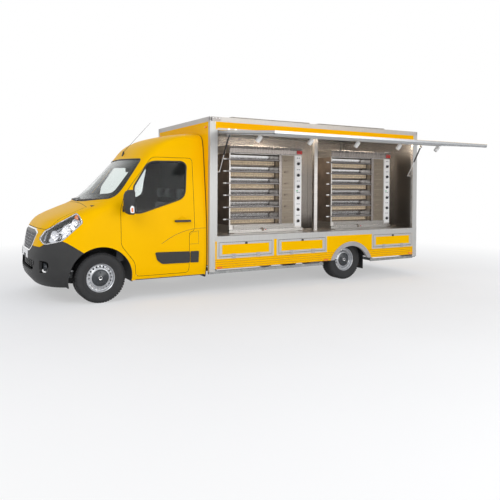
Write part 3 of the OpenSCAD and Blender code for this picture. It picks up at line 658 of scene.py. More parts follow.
# Wings, bonnet and bumper
wings = cab_skin("front_wing_panels", PANEL_T)
cut(wings, outline_prism(WINGS), "INTERSECT")
cut(wings, hood_cutter(GAP))
for s in (1, -1):
    cut(wings, headlight_cutter(s, 3))
cut(wings, outline_prism(inset(BUMPER, -2)))
cut(wings, outline_prism(GRILLE, *GRILLE_CUT_X, "X"))
arch_cutters(wings)
finish_panel(wings, "paint", "seal", PANEL_T)
place(wings, "vehicle", ["front_wings"])

bonnet = cab_skin("bonnet", PANEL_T)
cut(bonnet, hood_cutter(0), "INTERSECT")
finish_panel(bonnet, "paint", "seal", PANEL_T)
place(bonnet, "hood", ["hood"])

bumper = cab_skin("bumper", BUMPER_T)
cut(bumper, outline_prism(inset(BUMPER, 1)), "INTERSECT")
for s in (1, -1):
    cut(bumper, headlight_cutter(s, 3))
cut(bumper, outline_prism(GRILLE, *GRILLE_CUT_X, "X"))
cut(bumper, block((-9000, -9000, 0), (200, 9000, 2000)))
arch_cutters(bumper)
bumper_slot([(-0.52, 0.46), (0.52, 0.46), (0.60, 0.60), (-0.60, 0.60)], 0.5)
for s in (1, -1):
    bumper_slot([(s * 0.70, 0.44), (s * 0.86, 0.46), (s * 0.88, 0.60), (s * 0.72, 0.62)], 0.3)
finish_panel(bumper, "bumper", "black", BUMPER_T)
place(bumper, "vehicle", ["front_bumper"])

# Doors, with their glass and seals
for _, span, tag in SIDES:
    door = cab_skin(tag + "_door_panel", SHELL_T)
    cut(door, outline_prism(DOOR_R, *span), "INTERSECT")
    cut(door, outline_prism(inset(WINDOW_R, -13), *span))
    finish_panel(door, "paint", "inside", SHELL_T)
    place(door, tag + "_door", [tag + "_door"])
    seal = cab_skin(tag + "_window_seal", 0.030, 0.002)
    cut(seal, outline_prism(inset(WINDOW_R, -13), *span), "INTERSECT")
    cut(seal, outline_prism(inset(WINDOW_R, 9), *span))
    finish_panel(seal, "seal")
    place(seal, tag + "_door")
    pane = cut(cab_solid(0.007), cab_solid(0.012))
    pane.name = tag + "_door_pane"
    cut(pane, outline_prism(inset(WINDOW_R, 4), *span), "INTERSECT")
    finish_panel(pane, "glass")
    place(pane, tag + "_door", [tag + "_door_glass"])

# Windscreen and the black band printed round its edge
SCREEN_R = rounded(SCREEN, 60)
pane = cut(cab_solid(0.002), cab_solid(0.008))
pane.name = "windscreen_pane"
cut(pane, outline_prism(inset(SCREEN_R, 2), *SCREEN_X, "X"), "INTERSECT")
finish_panel(pane, "glass")
place(pane, "vehicle", ["windscreen"])
band = cut(cab_solid(0.009), cab_solid(0.013))
band.name = "windscreen_band"
cut(band, outline_prism(inset(SCREEN_R, 2), *SCREEN_X, "X"), "INTERSECT")
clear = [(-790, 1530), (-400, 1500), (0, 1492), (400, 1500), (790, 1530), (720, 1900), (0, 1912), (-720, 1900)]
cut(band, outline_prism(rounded(clear, 60), *SCREEN_X, "X"))
finish_panel(band, "seal")
place(band, "vehicle")
rubber = cab_skin("windscreen_rubber", 0.02, 0.001)
cut(rubber, outline_prism(SCREEN_R, *SCREEN_X, "X"), "INTERSECT")
cut(rubber, outline_prism(inset(SCREEN_R, 14), *SCREEN_X, "X"))
finish_panel(rubber, "seal")
place(rubber, "vehicle")


# ------------------------------------------------------------------ cab details
def patch(name, outline, sides, out, depth, mat, body, axis="Y", bevel=0.0):
    """A piece of the cab's surface inside an outline, from out above it to depth below it."""
    obj = cab_skin(name, depth, out)
    cut(obj, outline_prism(outline, *sides, axis), "INTERSECT")
    finish_panel(obj, mat)
    if bevel:
        soften(obj, bevel)
    return place(obj, body)


def band_outline(points, width):
    """A closed outline round a polyline, in mm."""
    pts = [Vector(p) for p in points]
    normals = []
    for i, p in enumerate(pts):
        a = pts[max(0, i - 1)]
        b = pts[min(len(pts) - 1, i + 1)]
        d = (b - a).normalized()
        normals.append(Vector((-d.y, d.x)))
    left = [tuple(p + n * width / 2) for p, n in zip(pts, normals)]
    return left + [tuple(p - n * width / 2) for p, n in zip(reversed(pts), reversed(normals))]


CREASE = [(-870, 792), (-960, 850), (-1070, 908), (-1180, 950), (-1290, 980), (-1392, 998)]
MOULD = rounded([(-772, 673), (-1318, 662), (-1318, 492), (-876, 498), (-800, 560)], 26)
MOULD_REAR = rounded([(-1330, 662), (-1463, 660), (-1456, 490), (-1330, 492)], 12)
FLAP_LINE = [(-1320, 900), (-1355, 945), (-1462, 964), (-1462, 770), (-1320, 770), (-1320, 900)]
for side, span, tag in SIDES:
    patch(tag + "_side_moulding", MOULD, span, 0.014, 0.002, "bumper", tag + "_door",
        bevel=0.004)
    patch(tag + "_rear_moulding", MOULD_REAR, span, 0.014, 0.002, "bumper", "vehicle",
        bevel=0.004)
    # thin black bands along the crease line of the door and rear quarter: painted shade standing in for the
    # shaded fold of a crease that the surface itself does not have
    patch(tag + "_door_crease_painted_shade", band_outline(CREASE, 5), span, 0.0006, 0.001, "seal", tag + "_door")
    patch(tag + "_quarter_crease_painted_shade", band_outline([(-1404, 1000), (-1500, 1004), (-1588, 1004)], 4), span, 0.0006,
        0.001, "seal", "vehicle")
    # door handle: a bar over a round painted dish
    handle = Build(tag + "_door_handle")
    y = side_y(-1.2, 1.12)
    handle.box((-1.325, side * (y + 0.022), 1.104), (-1.074, side * (y + 0.046), 1.136))
    for x in (-1.31, -1.09):
        handle.box((x - 0.012, side * (y - 0.004), 1.108), (x + 0.012, side * (y + 0.030), 1.132))
    put(handle, "black", 0.007, body=tag + "_door")
    dish = Build(tag + "_handle_dish")
    dish.lathe([(0.020, 0.002), (0.060, 0.001), (0.066, 0.004), (0.070, 0.001), (0.070, -0.006),
        (0.020, -0.006)], (-1.2, side * y, 1.12), "Y", 48)
    put(dish, "paint", body=tag + "_door")
patch("fuel_flap_line", band_outline(FLAP_LINE[:3], 4), LEFT, 0.0006, 0.001, "seal", "vehicle")
patch("fuel_flap_edge", band_outline(FLAP_LINE[2:5], 4), LEFT, 0.0006, 0.001, "seal", "vehicle")

# Black seal between the cab and the box
rear_ring = [(w, z) for z, _, _, w, _ in ROWS[::3]]
ring_pts = [(w - 0.012, z) for w, z in rear_ring] + [(-w + 0.012, z) for w, z in reversed(rear_ring)]
bellows = Build("cab_box_seal").prism(ring_pts, BOX_FRONT + 0.0005, CAB_REAR + 0.002, "X")
put(bellows, "seal")

# Grille: a honeycomb behind a bright rim, under a dark band
M["comb"] = finish_material("grille_comb", (0.20, 0.20, 0.21), 0.25, 0.9, 0.1, 20.0, grain=120.0)
mesh_back = cab_skin("grille_back", BUMPER_T)
cut(mesh_back, outline_prism(GRILLE, *GRILLE_X, "X"), "INTERSECT")
finish_panel(mesh_back, "black")
mesh_back.data.transform(Matrix.Translation((-0.026, 0, 0)))
place(mesh_back, "vehicle", ["grille"])
comb = Build("grille_honeycomb")
pitch_y, pitch_z = 0.056, 0.042
for row in range(8):
    for col in range(-10, 11):
        y0 = (col + 0.5 * (row % 2)) * pitch_y
        z0 = 0.735 + row * pitch_z
        half = 0.43 + (z0 - 0.80) * 0.45 if z0 > 0.8 else 0.33 + (z0 - 0.71) * 1.1
        if z0 > 0.95 or abs(y0) > half - 0.035:
            continue
        x0 = nose_x(y0, z0)
        for k in range(6):
            a, b = math.radians(60 * k + 30), math.radians(60 * k + 90)
            p = Vector((x0 - 0.012, y0 + 0.029 * math.cos(a), z0 + 0.026 * math.sin(a)))
            q = Vector((x0 - 0.012, y0 + 0.029 * math.cos(b), z0 + 0.026 * math.sin(b)))
            comb.rod(p, q, 0.0042, sides=6)
put(comb, "comb")
rim_outline = rounded(GRILLE, 40)
chrome = cab_skin("grille_rim", 0.012, 0.004)
cut(chrome, outline_prism(rim_outline, *GRILLE_X, "X"), "INTERSECT")
cut(chrome, outline_prism(rounded(inset(GRILLE, 20), 26), *GRILLE_X, "X"))
finish_panel(chrome, "chrome")
place(chrome, "vehicle")
top_band = cab_skin("grille_band", 0.014, 0.001)
cut(top_band, outline_prism([(-500, 962), (500, 962), (505, 985), (325, 1020), (-325, 1020), (-505, 985)],
    *GRILLE_X, "X"), "INTERSECT")
finish_panel(top_band, "black")
place(top_band, "vehicle")

# Headlights: a bright back and edge with three bowls and an amber indicator, under a clear lens
for side, _, tag in SIDES:
    lens = cab_skin(tag + "_headlight_lens", 0.004)
    cut(lens, headlight_cutter(side, -0.5), "INTERSECT")
    finish_panel(lens, "lens")
    place(lens, "vehicle", ["headlights"] if side > 0 else ())
    shell_piece = cut(cab_solid(0.055), cab_solid(0.062))
    shell_piece.name = tag + "_headlight_back"
    cut(shell_piece, headlight_cutter(side, 1), "INTERSECT")
    finish_panel(shell_piece, "reflector")
    place(shell_piece, "vehicle")
    edge = cab_skin(tag + "_headlight_edge", BUMPER_T)
    cut(edge, headlight_cutter(side, 0), "INTERSECT")
    cut(edge, headlight_cutter(side, -9))
    finish_panel(edge, "reflector")
    place(edge, "vehicle")
    bowls = Build(tag + "_headlight_bowls")
    for x, z, r, inward in ((0.610, 0.955, 0.070, 0.03), (0.470, 1.035, 0.072, 0.03),
            (0.360, 1.130, 0.052, 0.028)):
        y = side_y(x, z) - 0.012
        facing = Vector((0.80, side * 0.55, 0.12)).normalized()
        at = Vector((x, side * y, z)) - facing * inward
        turn = facing.to_track_quat("Z", "Y").to_matrix().to_4x4()
        rings = [(r, 0.012), (r * 0.96, 0.012), (r * 0.80, -0.006), (r * 0.5, -0.018), (r * 0.22, -0.022),
            (r * 0.22, -0.028), (r * 0.6, -0.026), (r, -0.004)]
        bowls.lathe(rings, (0, 0, 0), "Z", 16)
        bmesh.ops.transform(bowls.bm, matrix=Matrix.Translation(at) @ turn, verts=bowls.last)
        bowls.rod(at - facing * 0.02, at - facing * 0.002, r * 0.25, r * 0.18, 16)
    put(bowls, "chrome")
    y = side_y(0.30, 1.20) - 0.014
    amber = Build(tag + "_headlight_indicator")
    amber.prism(rounded([(0.288, 1.150), (0.350, 1.180), (0.335, 1.222), (0.300, 1.238)], 0.012),
        side * (y - 0.03), side * (y - 0.012))
    put(amber, "orange", 0.003)

# Mirrors: a deep rounded housing on a foot, with the glass to the rear and a small lamp
for side, _, tag in SIDES:
    shape = rounded([(1.138, 1.245), (1.262, 1.232), (1.284, 1.40), (1.272, 1.575), (1.16, 1.590),
        (1.136, 1.42)], 0.045)
    verts, faces = [], []
    mid = Vector((1.21, 1.41))
    layers = ((-0.400, 0.93), (-0.392, 1.0), (-0.33, 0.99), (-0.285, 0.88), (-0.262, 0.66), (-0.254, 0.30))
    for x, k in layers:
        verts += [(x, side * (mid.x + (a - mid.x) * k), mid.y + (b - mid.y) * k) for a, b in shape]
    n = len(shape)
    faces.append(list(range(n)))
    faces.append([(len(layers) - 1) * n + i for i in range(n)])
    for k in range(len(layers) - 1):
        for i in range(n):
            j = (i + 1) % n
            faces.append([k * n + i, k * n + j, (k + 1) * n + j, (k + 1) * n + i])
    housing = Build(tag + "_mirror_housing")
    vs = [housing.bm.verts.new(v) for v in verts]
    for f in faces:
        housing.bm.faces.new([vs[i] for i in f])
    for z in (1.30, 1.345):
        housing.rod((-0.335, side * 1.008, z), (-0.335, side * 1.15, z + 0.01), 0.016, sides=16)
    housing.box((-0.375, side * 1.004, 1.268), (-0.298, side * 1.016, 1.352))
    put(housing, "bumper", 0.004, stands_for=[tag + "_mirror"], body=tag + "_door")
    glass = Build(tag + "_mirror_glass")
    glass.prism([(side * (mid.x + (a - mid.x) * 0.86), mid.y + (b - mid.y) * 0.88) for a, b in shape], -0.4004,
        -0.398, "X")
    put(glass, "chrome", body=tag + "_door")
    lamp = Build(tag + "_mirror_lamp")
    lamp.prism(rounded([(-0.385, 1.262), (-0.335, 1.262), (-0.322, 1.33), (-0.345, 1.372), (-0.382, 1.35)],
        0.014), side * 1.262, side * 1.279)
    put(lamp, "white", 0.003, body=tag + "_door")
    amber = Build(tag + "_mirror_indicator")
    amber.prism(rounded([(-0.372, 1.275), (-0.345, 1.275), (-0.338, 1.33), (-0.366, 1.335)], 0.010),
        side * 1.270, side * 1.2805)
    put(amber, "orange", 0.002, body=tag + "_door")

# Wipers, aerial, fog lamps, plate and the bumper's slots
wipers = Build("wipers")
for y0, y1 in ((0.10, 0.72), (-0.62, 0.02)):
    z0, z1 = 1.425, 1.452
    p = [Vector((nose_x(y, z) + 0.012, y, z)) for y, z in ((y0, z0), ((y0 + y1) / 2, 1.436), (y1, z1))]
    wipers.tube(p, 0.006, 8)
    wipers.rod(p[0] + Vector((0.004, 0, -0.02)), (p[0] + p[1]) / 2 + Vector((0.014, 0, 0)), 0.008, 0.005, 12)
    wipers.rod(p[0] + Vector((0.0, 0, -0.035)), p[0] + Vector((0.012, 0, 0)), 0.016, sides=16)
put(wipers, "black")
aerial = Build("aerial")
aerial.rod((-0.600, 0, 2.110), (-0.612, 0, 2.190), 0.022, 0.010, 20)
aerial.rod((-0.612, 0, 2.180), (-1.06, 0, 2.675), 0.0035, 0.0022, 10)
put(aerial, "black")
fog = Build("fog_lamps")
for s in (1, -1):
    at = Vector((nose_x(0.78, 0.53) - 0.030, s * 0.785, 0.53))
    fog.lathe([(0.048, 0.010), (0.056, 0.010), (0.056, -0.02), (0.0005, -0.02), (0.0005, -0.006),
        (0.030, 0.000)], at, "X", 32)
put(fog, "hub")
slots = Build("bumper_slots")
for z in (0.35, 0.385, 0.42):
    for y in np.linspace(-0.42, 0.42, 8):
        x = nose_x(abs(y) + 0.04, z)
        slots.box((x - 0.006, y - 0.045, z - 0.007), (x + 0.002, y + 0.045, z + 0.007))
grid_x = nose_x(0.0, 0.53)
for z in (0.485, 0.51, 0.535, 0.56, 0.585):
    for y in np.linspace(-0.5, 0.5, 9):
        x = nose_x(abs(y) + 0.06, z)
        slots.box((x - 0.055, y - 0.064, z - 0.004), (x - 0.035, y + 0.064, z + 0.004))
slots.box((grid_x - 0.10, -0.60, 0.455), (grid_x - 0.075, 0.60, 0.605))
put(slots, "black", 0.002)
plate = Build("front_plate")
px = nose_x(0.26, 0.655)
plate.box((px - 0.004, -0.26, 0.60), (0.8595, 0.26, 0.71))
put(plate, "white", 0.004)

# Dashboard details, the inside mirror and the seats
dash_detail = Build("dashboard_detail")
for y in (-0.70, -0.12, 0.12, 0.70):
    dash_detail.box((-0.640, y - 0.07, 1.10), (-0.610, y + 0.07, 1.17))
dash_detail.box((-0.60, 0.20, 1.19), (-0.42, 0.62, 1.33)).box((-0.655, -0.16, 0.86), (-0.610, 0.16, 1.07))
dash_detail.box((-0.645, -0.75, 1.02), (-0.630, -0.25, 1.06))
put(dash_detail, "black", 0.012)
inner_mirror = Build("inside_mirror").box((-0.70, -0.13, 1.86), (-0.68, 0.13, 1.94)).rod((-0.69, 0, 1.92),
    (-0.60, 0, 2.02), 0.01)
put(inner_mirror, "black", 0.008)


# A cushion starts smaller than its box, and swells for CLOTH_FRAMES frames, by at most PAD_REACH
CLOTH_FILL, QUICK_FILL, CLOTH_FRAMES, PAD_REACH = 0.86, 0.93, 20, 0.022
CHANNEL_WIDTH, CHANNEL_DEPTH = 0.010, 0.011


def pad(name, a, b, channels=0):
    """A stuffed cushion inside the box a..b, swollen by a cloth simulation and then sewn."""
    lo = Vector([min(p, q) for p, q in zip(a, b)])
    hi = Vector([max(p, q) for p, q in zip(a, b)])
    size, mid = hi - lo, (hi + lo) / 2
    shrink = CLOTH_FILL
    bm = bmesh.new()
    bmesh.ops.create_cube(bm, size=1,
        matrix=Matrix.Translation(mid) @ Matrix.Diagonal((*[s * shrink for s in size], 1)))
    bmesh.ops.bevel(bm, geom=bm.edges[:], offset=min(size) * 0.34, segments=5, profile=0.6, affect="EDGES")
    mesh = bpy.data.meshes.new(name)
    bm.to_mesh(mesh)
    bm.free()
    obj = bpy.data.objects.new(name, mesh)
    link(obj)
    remesh = obj.modifiers.new("remesh", "REMESH")
    remesh.mode = "VOXEL"
    remesh.voxel_size = 0.012
    apply_modifier(obj, remesh.name)
    start = np.empty(len(obj.data.vertices) * 3)
    obj.data.vertices.foreach_get("co", start)
    start = start.reshape(-1, 3)
    cloth = obj.modifiers.new("cloth", "CLOTH")
    cloth.settings.use_pressure = True
    cloth.settings.uniform_pressure_force = 4.0
    cloth.settings.effector_weights.gravity = 0.0
    cloth.settings.quality = 4
    cloth.point_cache.frame_start, cloth.point_cache.frame_end = 1, CLOTH_FRAMES
    for step in range(1, CLOTH_FRAMES + 1):
        bpy.context.scene.frame_set(step)
    apply_modifier(obj, cloth.name)
    bpy.context.scene.frame_set(1)
    end = np.empty(len(obj.data.vertices) * 3)
    obj.data.vertices.foreach_get("co", end)
    end = end.reshape(-1, 3)
    move = end - start
    length = np.linalg.norm(move, axis=1, keepdims=True)
    end = start + move * np.minimum(1.0, PAD_REACH / np.maximum(length, 1e-9))
    # sewn channels: shallow valleys across the pad's wide faces
    if channels:
        u = (end[:, 1] - lo.y) / size.y
        valley = np.zeros(len(end))
        for k in range(1, channels):
            valley += np.exp(-((u - k / channels) * size.y / CHANNEL_WIDTH) ** 2)
        thin = int(np.argmin(size))
        away = np.sign(end[:, thin] - mid[thin])
        end[:, thin] -= away * valley * CHANNEL_DEPTH
    end = np.clip(end, np.array(lo) + 0.001, np.array(hi) - 0.001)
    obj.data.vertices.foreach_set("co", end.ravel())
    obj.data.update()
    obj.data.materials.append(M["cloth"])
    obj.data.shade_smooth()
    sub = obj.modifiers.new("smooth", "SUBSURF")
    sub.levels = sub.render_levels = 1
    return obj


for mid_y, width, tag in ((0.400, 0.480, "driver"), (-0.330, 0.860, "bench")):
    l, r = mid_y - width / 2, mid_y + width / 2
    single = tag == "driver"
    channels = 4 if single else 6
    place(pad(tag + "_cushion", (-1.368, l, 0.692), (-0.862, r, 0.818), channels), "vehicle",
        ["seats"] if single else ())
    place(pad(tag + "_backrest", (-1.498, l, 0.822), (-1.372, r, 1.418), channels), "vehicle")
    heads = (mid_y,) if single else (mid_y - 0.21, mid_y + 0.21)
    for i, y in enumerate(heads):
        place(pad(f"{tag}_headrest_{i + 1}", (-1.488, y - 0.13, 1.44), (-1.392, y + 0.13, 1.608)), "vehicle")
    base = Build(tag + "_seat_base")
    base.box((-1.35, l + 0.04, 0.47), (-0.90, r - 0.04, 0.66)).box((-1.36, l + 0.01, 0.655),
        (-0.87, r - 0.01, 0.695))
    for y in heads:
        for s in (-1, 1):
            base.rod((-1.44, y + s * 0.05, 1.40), (-1.44, y + s * 0.05, 1.46), 0.006)
    put(base, "black", 0.012)


# ------------------------------------------------------------------ wheels
TREAD_BLOCKS, RIM_HOLES, HUB_BOLTS = 56, 20, 5


def wheel_pieces(tag, x, side):
    """A tyre, a rim and a hub cover. o points outwards along y."""
    mid = (x, side * TRACK / 2, WHEEL_R)
    half = TYRE_W / 2
    o = side
    carcass = [(RIM_R - 0.004, -0.100), (RIM_R + 0.004, -0.106), (RIM_R + 0.014, -0.108),
        (0.235, -half + 0.002), (0.270, -half), (0.300, -half + 0.001), (0.322, -half + 0.006),
        (0.336, -half + 0.016), (0.3425, -half + 0.028)]
    for y in (-0.058, -0.020, 0.020, 0.058):
        carcass += [(0.3425, y - 0.005), (0.3400, y - 0.004), (0.3400, y + 0.004), (0.3425, y + 0.005)]
    carcass += [(r, -t) for r, t in reversed(carcass[:9])]
    tyre = Build(tag + "_tyre_carcass")
    tyre.lathe(carcass, mid, "Y", 96)
    for r in (0.240, 0.246, 0.318):
        for s in (-1, 1):
            t = s * (half - (0.0008 if r < 0.3 else 0.0045))
            tyre.lathe([(r, t), (r + 0.0025, t + s * 0.0012), (r + 0.005, t), (r + 0.0025, t - s * 0.003)], mid,
                "Y", 96)
    for k in range(TREAD_BLOCKS):
        a = 2 * math.pi * k / TREAD_BLOCKS
        for row, (y, w, l) in enumerate(((-0.080, 0.036, 0.030), (-0.039, 0.028, 0.024), (0.0, 0.028, 0.026),
                (0.039, 0.028, 0.024), (0.080, 0.036, 0.030))):
            b = a + (row % 2) * math.pi / TREAD_BLOCKS
            turn = Matrix.Translation(mid) @ Matrix.Rotation(-b, 4, "Y") @ Matrix.Translation((0.3445, y, 0))
            bmesh.ops.create_cube(tyre.bm, size=1, matrix=turn @ Matrix.Diagonal((0.0085, w, l, 1)))
        for s in (-1, 1):
            turn = (Matrix.Translation(mid) @ Matrix.Rotation(-a, 4, "Y") @ Matrix.Translation((0.3385,
                s * (half - 0.017), 0)) @ Matrix.Rotation(s * math.radians(35), 4, "Z"))
            bmesh.ops.create_cube(tyre.bm, size=1, matrix=turn @ Matrix.Diagonal((0.008, 0.020, 0.022, 1)))
    wheel = tag + "_wheel"
    put(tyre, "tyre", stands_for=[tag + "_tyre"], body=wheel)

    # pressed steel rim with a ring of holes
    disc = [(0.203, 0.098), (0.198, 0.100), (0.190, 0.094), (0.186, 0.074), (0.180, 0.062), (0.166, 0.060),
        (0.148, 0.068), (0.132, 0.082), (0.122, 0.084), (0.110, 0.070), (0.060, 0.060), (0.030, 0.060),
        (0.030, 0.050), (0.110, 0.056), (0.130, 0.066), (0.150, 0.054), (0.170, 0.046), (0.186, 0.046),
        (0.188, -0.060), (0.196, -0.098), (0.203, -0.100)]
    rim = Build(tag + "_rim_disc").lathe([(r, o * t) for r, t in disc], mid, "Y", 96).done("rim")
    holes = Build("holes")
    for k in range(RIM_HOLES):
        a = 2 * math.pi * k / RIM_HOLES
        c = Vector(mid) + Vector((0.157 * math.cos(a), 0, 0.157 * math.sin(a)))
        holes.rod(c + Vector((0, o * 0.03, 0)), c + Vector((0, o * 0.09, 0)), 0.0125, sides=16)
    cut(rim, holes.done(None))
    rim.data.shade_smooth()
    rim.data.set_sharp_from_angle(angle=SHARP)
    place(rim, wheel, [tag + "_rim"])

    # domed centre cover with its bolts, a bright ring round its middle, and the tyre valve
    cap = Build(tag + "_hub_cover")
    profile = [(0.0006, 0.101), (0.018, 0.101), (0.022, 0.098), (0.030, 0.095), (0.085, 0.092), (0.105, 0.087),
        (0.119, 0.078), (0.121, 0.072), (0.110, 0.068), (0.0006, 0.068)]
    cap.lathe([(r, o * t) for r, t in profile], mid, "Y", 64)
    for k in range(HUB_BOLTS):
        a = 2 * math.pi * k / HUB_BOLTS + 0.3
        c = Vector(mid) + Vector((0.075 * math.cos(a), 0, 0.075 * math.sin(a)))
        cap.rod(c + Vector((0, o * 0.088, 0)), c + Vector((0, o * 0.0985, 0)), 0.015, 0.012, 6)
    put(cap, "hub", body=wheel)
    ring = Build(tag + "_hub_ring")
    ring.lathe([(0.019, o * 0.1005), (0.024, o * 0.1015), (0.027, o * 0.098), (0.022, o * 0.095)], mid, "Y", 48)
    valve = Vector(mid) + Vector((0.176 * math.cos(2.1), o * 0.060, 0.176 * math.sin(2.1)))
    ring.rod(valve, valve + Vector((0, o * 0.026, 0)), 0.004, sides=10)
    put(ring, "chrome", body=wheel)


wheel_pieces("front_left", 0.0, 1)
wheel_pieces("front_right", 0.0, -1)
wheel_pieces("rear_left", -WHEELBASE, 1)
wheel_pieces("rear_right", -WHEELBASE, -1)


# ------------------------------------------------------------------ box body
POST_X = 0.097
POST_FRONT, POST_REAR = BOX_FRONT - POST_X, BOX_REAR + POST_X
COUNTER_TOP = 0.872
OPEN_FRONT, OPEN_REAR, OPEN_TOP = COUNTER_HI.x, COUNTER_LO.x, COUNTER_TOP + 1.628
LOCKERS = [(OPEN_FRONT - 0.002, OPEN_FRONT - 1.015), (OPEN_FRONT - 1.087, OPEN_FRONT - 2.089),
    (OPEN_REAR + 0.996, OPEN_REAR - 0.004)]
SKIRT_TOP, LOCKER_TOP, LOCKER_RIM = 0.527, 0.804, 0.032
FLAP_AXIS = (HALF_W + 0.008, OPEN_TOP + 0.002)
FLAP_OPEN = math.radians(85)


# How near to its face's plane a point still counts as painted, and both roughnesses
PAINT_REACH, STEEL_ROUGH, PAINT_ROUGH = 0.0016, 0.27, 0.32


def slab_material(name, normal, offset, rest=((0.44, 0.42, 0.40), (0.60, 0.575, 0.55))):
    """Paint on the face where a point's distance along normal is near offset, brushed steel on the others."""
    mat, nodes, links, shader = new_material(name)
    coords = nodes.new("ShaderNodeTexCoord")
    dot = nodes.new("ShaderNodeVectorMath")
    dot.operation = "DOT_PRODUCT"
    links.new(coords.outputs["Object"], dot.inputs[0])
    dot.inputs[1].default_value = normal
    near = math_node(nodes, links, "COMPARE", dot.outputs["Value"], offset, PAINT_REACH)
    grain = noise(nodes, links, 7.0, 4.0, (1.2, 1.2, 70.0))
    blotch = noise(nodes, links, 1.6, 3.0)
    steel = two_tone(nodes, links, grain, *rest)
    drift = two_tone(nodes, links, blotch, [c * 0.97 for c in YELLOW], [min(1, c * 1.03) for c in YELLOW])
    links.new(colour_mix(nodes, links, near, steel, drift), shader.inputs["Base Color"])
    links.new(spread(nodes, links, near, 1.0, 0.0), shader.inputs["Metallic"])
    links.new(spread(nodes, links, near, STEEL_ROUGH, PAINT_ROUGH), shader.inputs["Roughness"])
    shader.inputs["Specular IOR Level"].default_value = 0.02
    bump(nodes, links, shader, grain, 0.12, 0.0003)
    mat.diffuse_color = (*YELLOW, 1)
    M[name] = mat


def slab(name, axis, value):
    normal = [0, 0, 0]
    normal[axis] = 1
    slab_material(name, normal, value + ORIGIN[axis])


flap_normal = (0.0, math.cos(FLAP_OPEN), math.sin(FLAP_OPEN))
flap_plane = flap_normal[1] * (FLAP_AXIS[0] + ORIGIN.y) + flap_normal[2] * FLAP_AXIS[1]
flap_plane += HALF_W - FLAP_AXIS[0]
slab("left_panel", 1, HALF_W)
slab("right_panel", 1, -HALF_W)
slab("front_panel", 0, BOX_FRONT)
slab("rear_panel", 0, BOX_REAR)
slab("roof_panel", 2, ROOF_TOP - 0.005)
slab_material("flap_panel", flap_normal, flap_plane, rest=((0.40, 0.41, 0.42), (0.52, 0.53, 0.54)))


def dress(node, mat, bevel=0.0):
    """A CAD node that keeps its shape gets a better finish, and softened edges."""
    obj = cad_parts[node]
    obj.data.materials.clear()
    obj.data.materials.append(M[mat])
    if bevel:
        soften(obj, bevel)


for node, mat, bevel in (
        ("chassis_frame", "galv", 0.003), ("rear_axle", "dark_metal", 0.006),
        ("engine_block", "cast", 0.02), ("fuel_tank", "black", 0.03), ("exhaust", "steel", 0),
        ("dashboard", "dash", 0.02), ("steering_wheel", "black", 0), ("box_floor", "floor", 0),
        ("box_front_wall", "front_panel", 0.0015), ("box_right_wall", "right_panel", 0),
        ("box_left_wall", "left_panel", 0), ("box_rear_wall", "rear_panel", 0),
        ("box_roof", "roof_panel", 0), ("box_edge_frame", "alu", 0.012), ("side_skirts", "foil", 0.006),
        ("counter", "steel", 0.003), ("locker_boxes", "galv", 0.002), ("roof_vents", "alu", 0.008),
        ("rear_bumper", "galv", 0.006), ("rear_door", "rear_panel", 0.003),
        ("rotisserie_cabinets", "steel", 0.003), ("serving_flap", "flap_panel", 0.003),
        ("front_strut_cylinder", "black", 0), ("rear_strut_cylinder", "black", 0),
        ("front_strut_rod", "chrome", 0), ("rear_strut_rod", "chrome", 0), ("left_knuckle", "cast", 0.004),
        ("right_knuckle", "cast", 0.004), ("locker_door_1", "left_panel", 0.002),
        ("locker_door_2", "left_panel", 0.002), ("locker_door_3", "left_panel", 0.002)):
    dress(node, mat, bevel)

arch_mat, an, al, arch_shader = new_material("arch_trim")
coords, parts = an.new("ShaderNodeTexCoord"), an.new("ShaderNodeSeparateXYZ")
al.new(coords.outputs["Object"], parts.inputs[0])
from_mid = math_node(an, al, "SUBTRACT", parts.outputs["Y"], ORIGIN.y)
outside = math_node(an, al, "GREATER_THAN", math_node(an, al, "ABSOLUTE", from_mid), INNER_Y + 0.002)
dark_liner = two_tone(an, al, noise(an, al, 30.0), (0.015, 0.015, 0.015), (0.035, 0.035, 0.035))
grey_trim = two_tone(an, al, noise(an, al, 8.0), (0.36, 0.345, 0.34), (0.43, 0.415, 0.41))
al.new(colour_mix(an, al, outside, dark_liner, grey_trim), arch_shader.inputs["Base Color"])
arch_shader.inputs["Roughness"].default_value = 0.5
bump(an, al, arch_shader, noise(an, al, 250.0), 0.4, 0.0004)
M["arch"] = arch_mat
dress("wheel_arches", "arch")

# Corner caps, frame of the opening, sill band, skirt ribs and marker lamps
CORNERS = [(s, x, d) for s in (1, -1) for x, d in ((BOX_FRONT, -1), (BOX_REAR, 1))]
caps = Build("corner_caps")
for s, x, d in CORNERS:
    caps.box((x - d * 0.003, s * (HALF_W + 0.003), ROOF_TOP - 0.082), (x + d * 0.19, s * (HALF_W - 0.05),
        ROOF_TOP + 0.003))
    caps.box((x - d * 0.003, s * (HALF_W + 0.003), ROOF_TOP - 0.082), (x + d * 0.05, s * (HALF_W - 0.16),
        ROOF_TOP + 0.003))
place(caps.done("cap", 0.022, segments=4), "vehicle")
rivets = Build("corner_cap_rivets")
for s, x, d in CORNERS:
    for k in (0.05, 0.10, 0.16):
        rivets.rod((x + d * k, s * (HALF_W + 0.002), ROOF_TOP - 0.022), (x + d * k, s * (HALF_W + 0.0055),
            ROOF_TOP - 0.022), 0.006, 0.004, 12)
put(rivets, "chrome")
frame_strips = Build("opening_frame")
y0, y1 = HALF_W - 0.001, HALF_W + 0.0006
frame_strips.box((OPEN_FRONT, y0, COUNTER_TOP - 0.075), (POST_FRONT, y1, OPEN_TOP + 0.012))
frame_strips.box((OPEN_REAR, y0, COUNTER_TOP - 0.075), (POST_REAR, y1, OPEN_TOP + 0.012))
frame_strips.box((OPEN_REAR, y0, OPEN_TOP + 0.004), (OPEN_FRONT, y1, OPEN_TOP + 0.030))
frame_strips.box((OPEN_REAR, y0, COUNTER_TOP - 0.078), (OPEN_FRONT, HALF_W + 0.0006, COUNTER_TOP - 0.034))
put(frame_strips, "alu")
edge = Build("counter_edge")
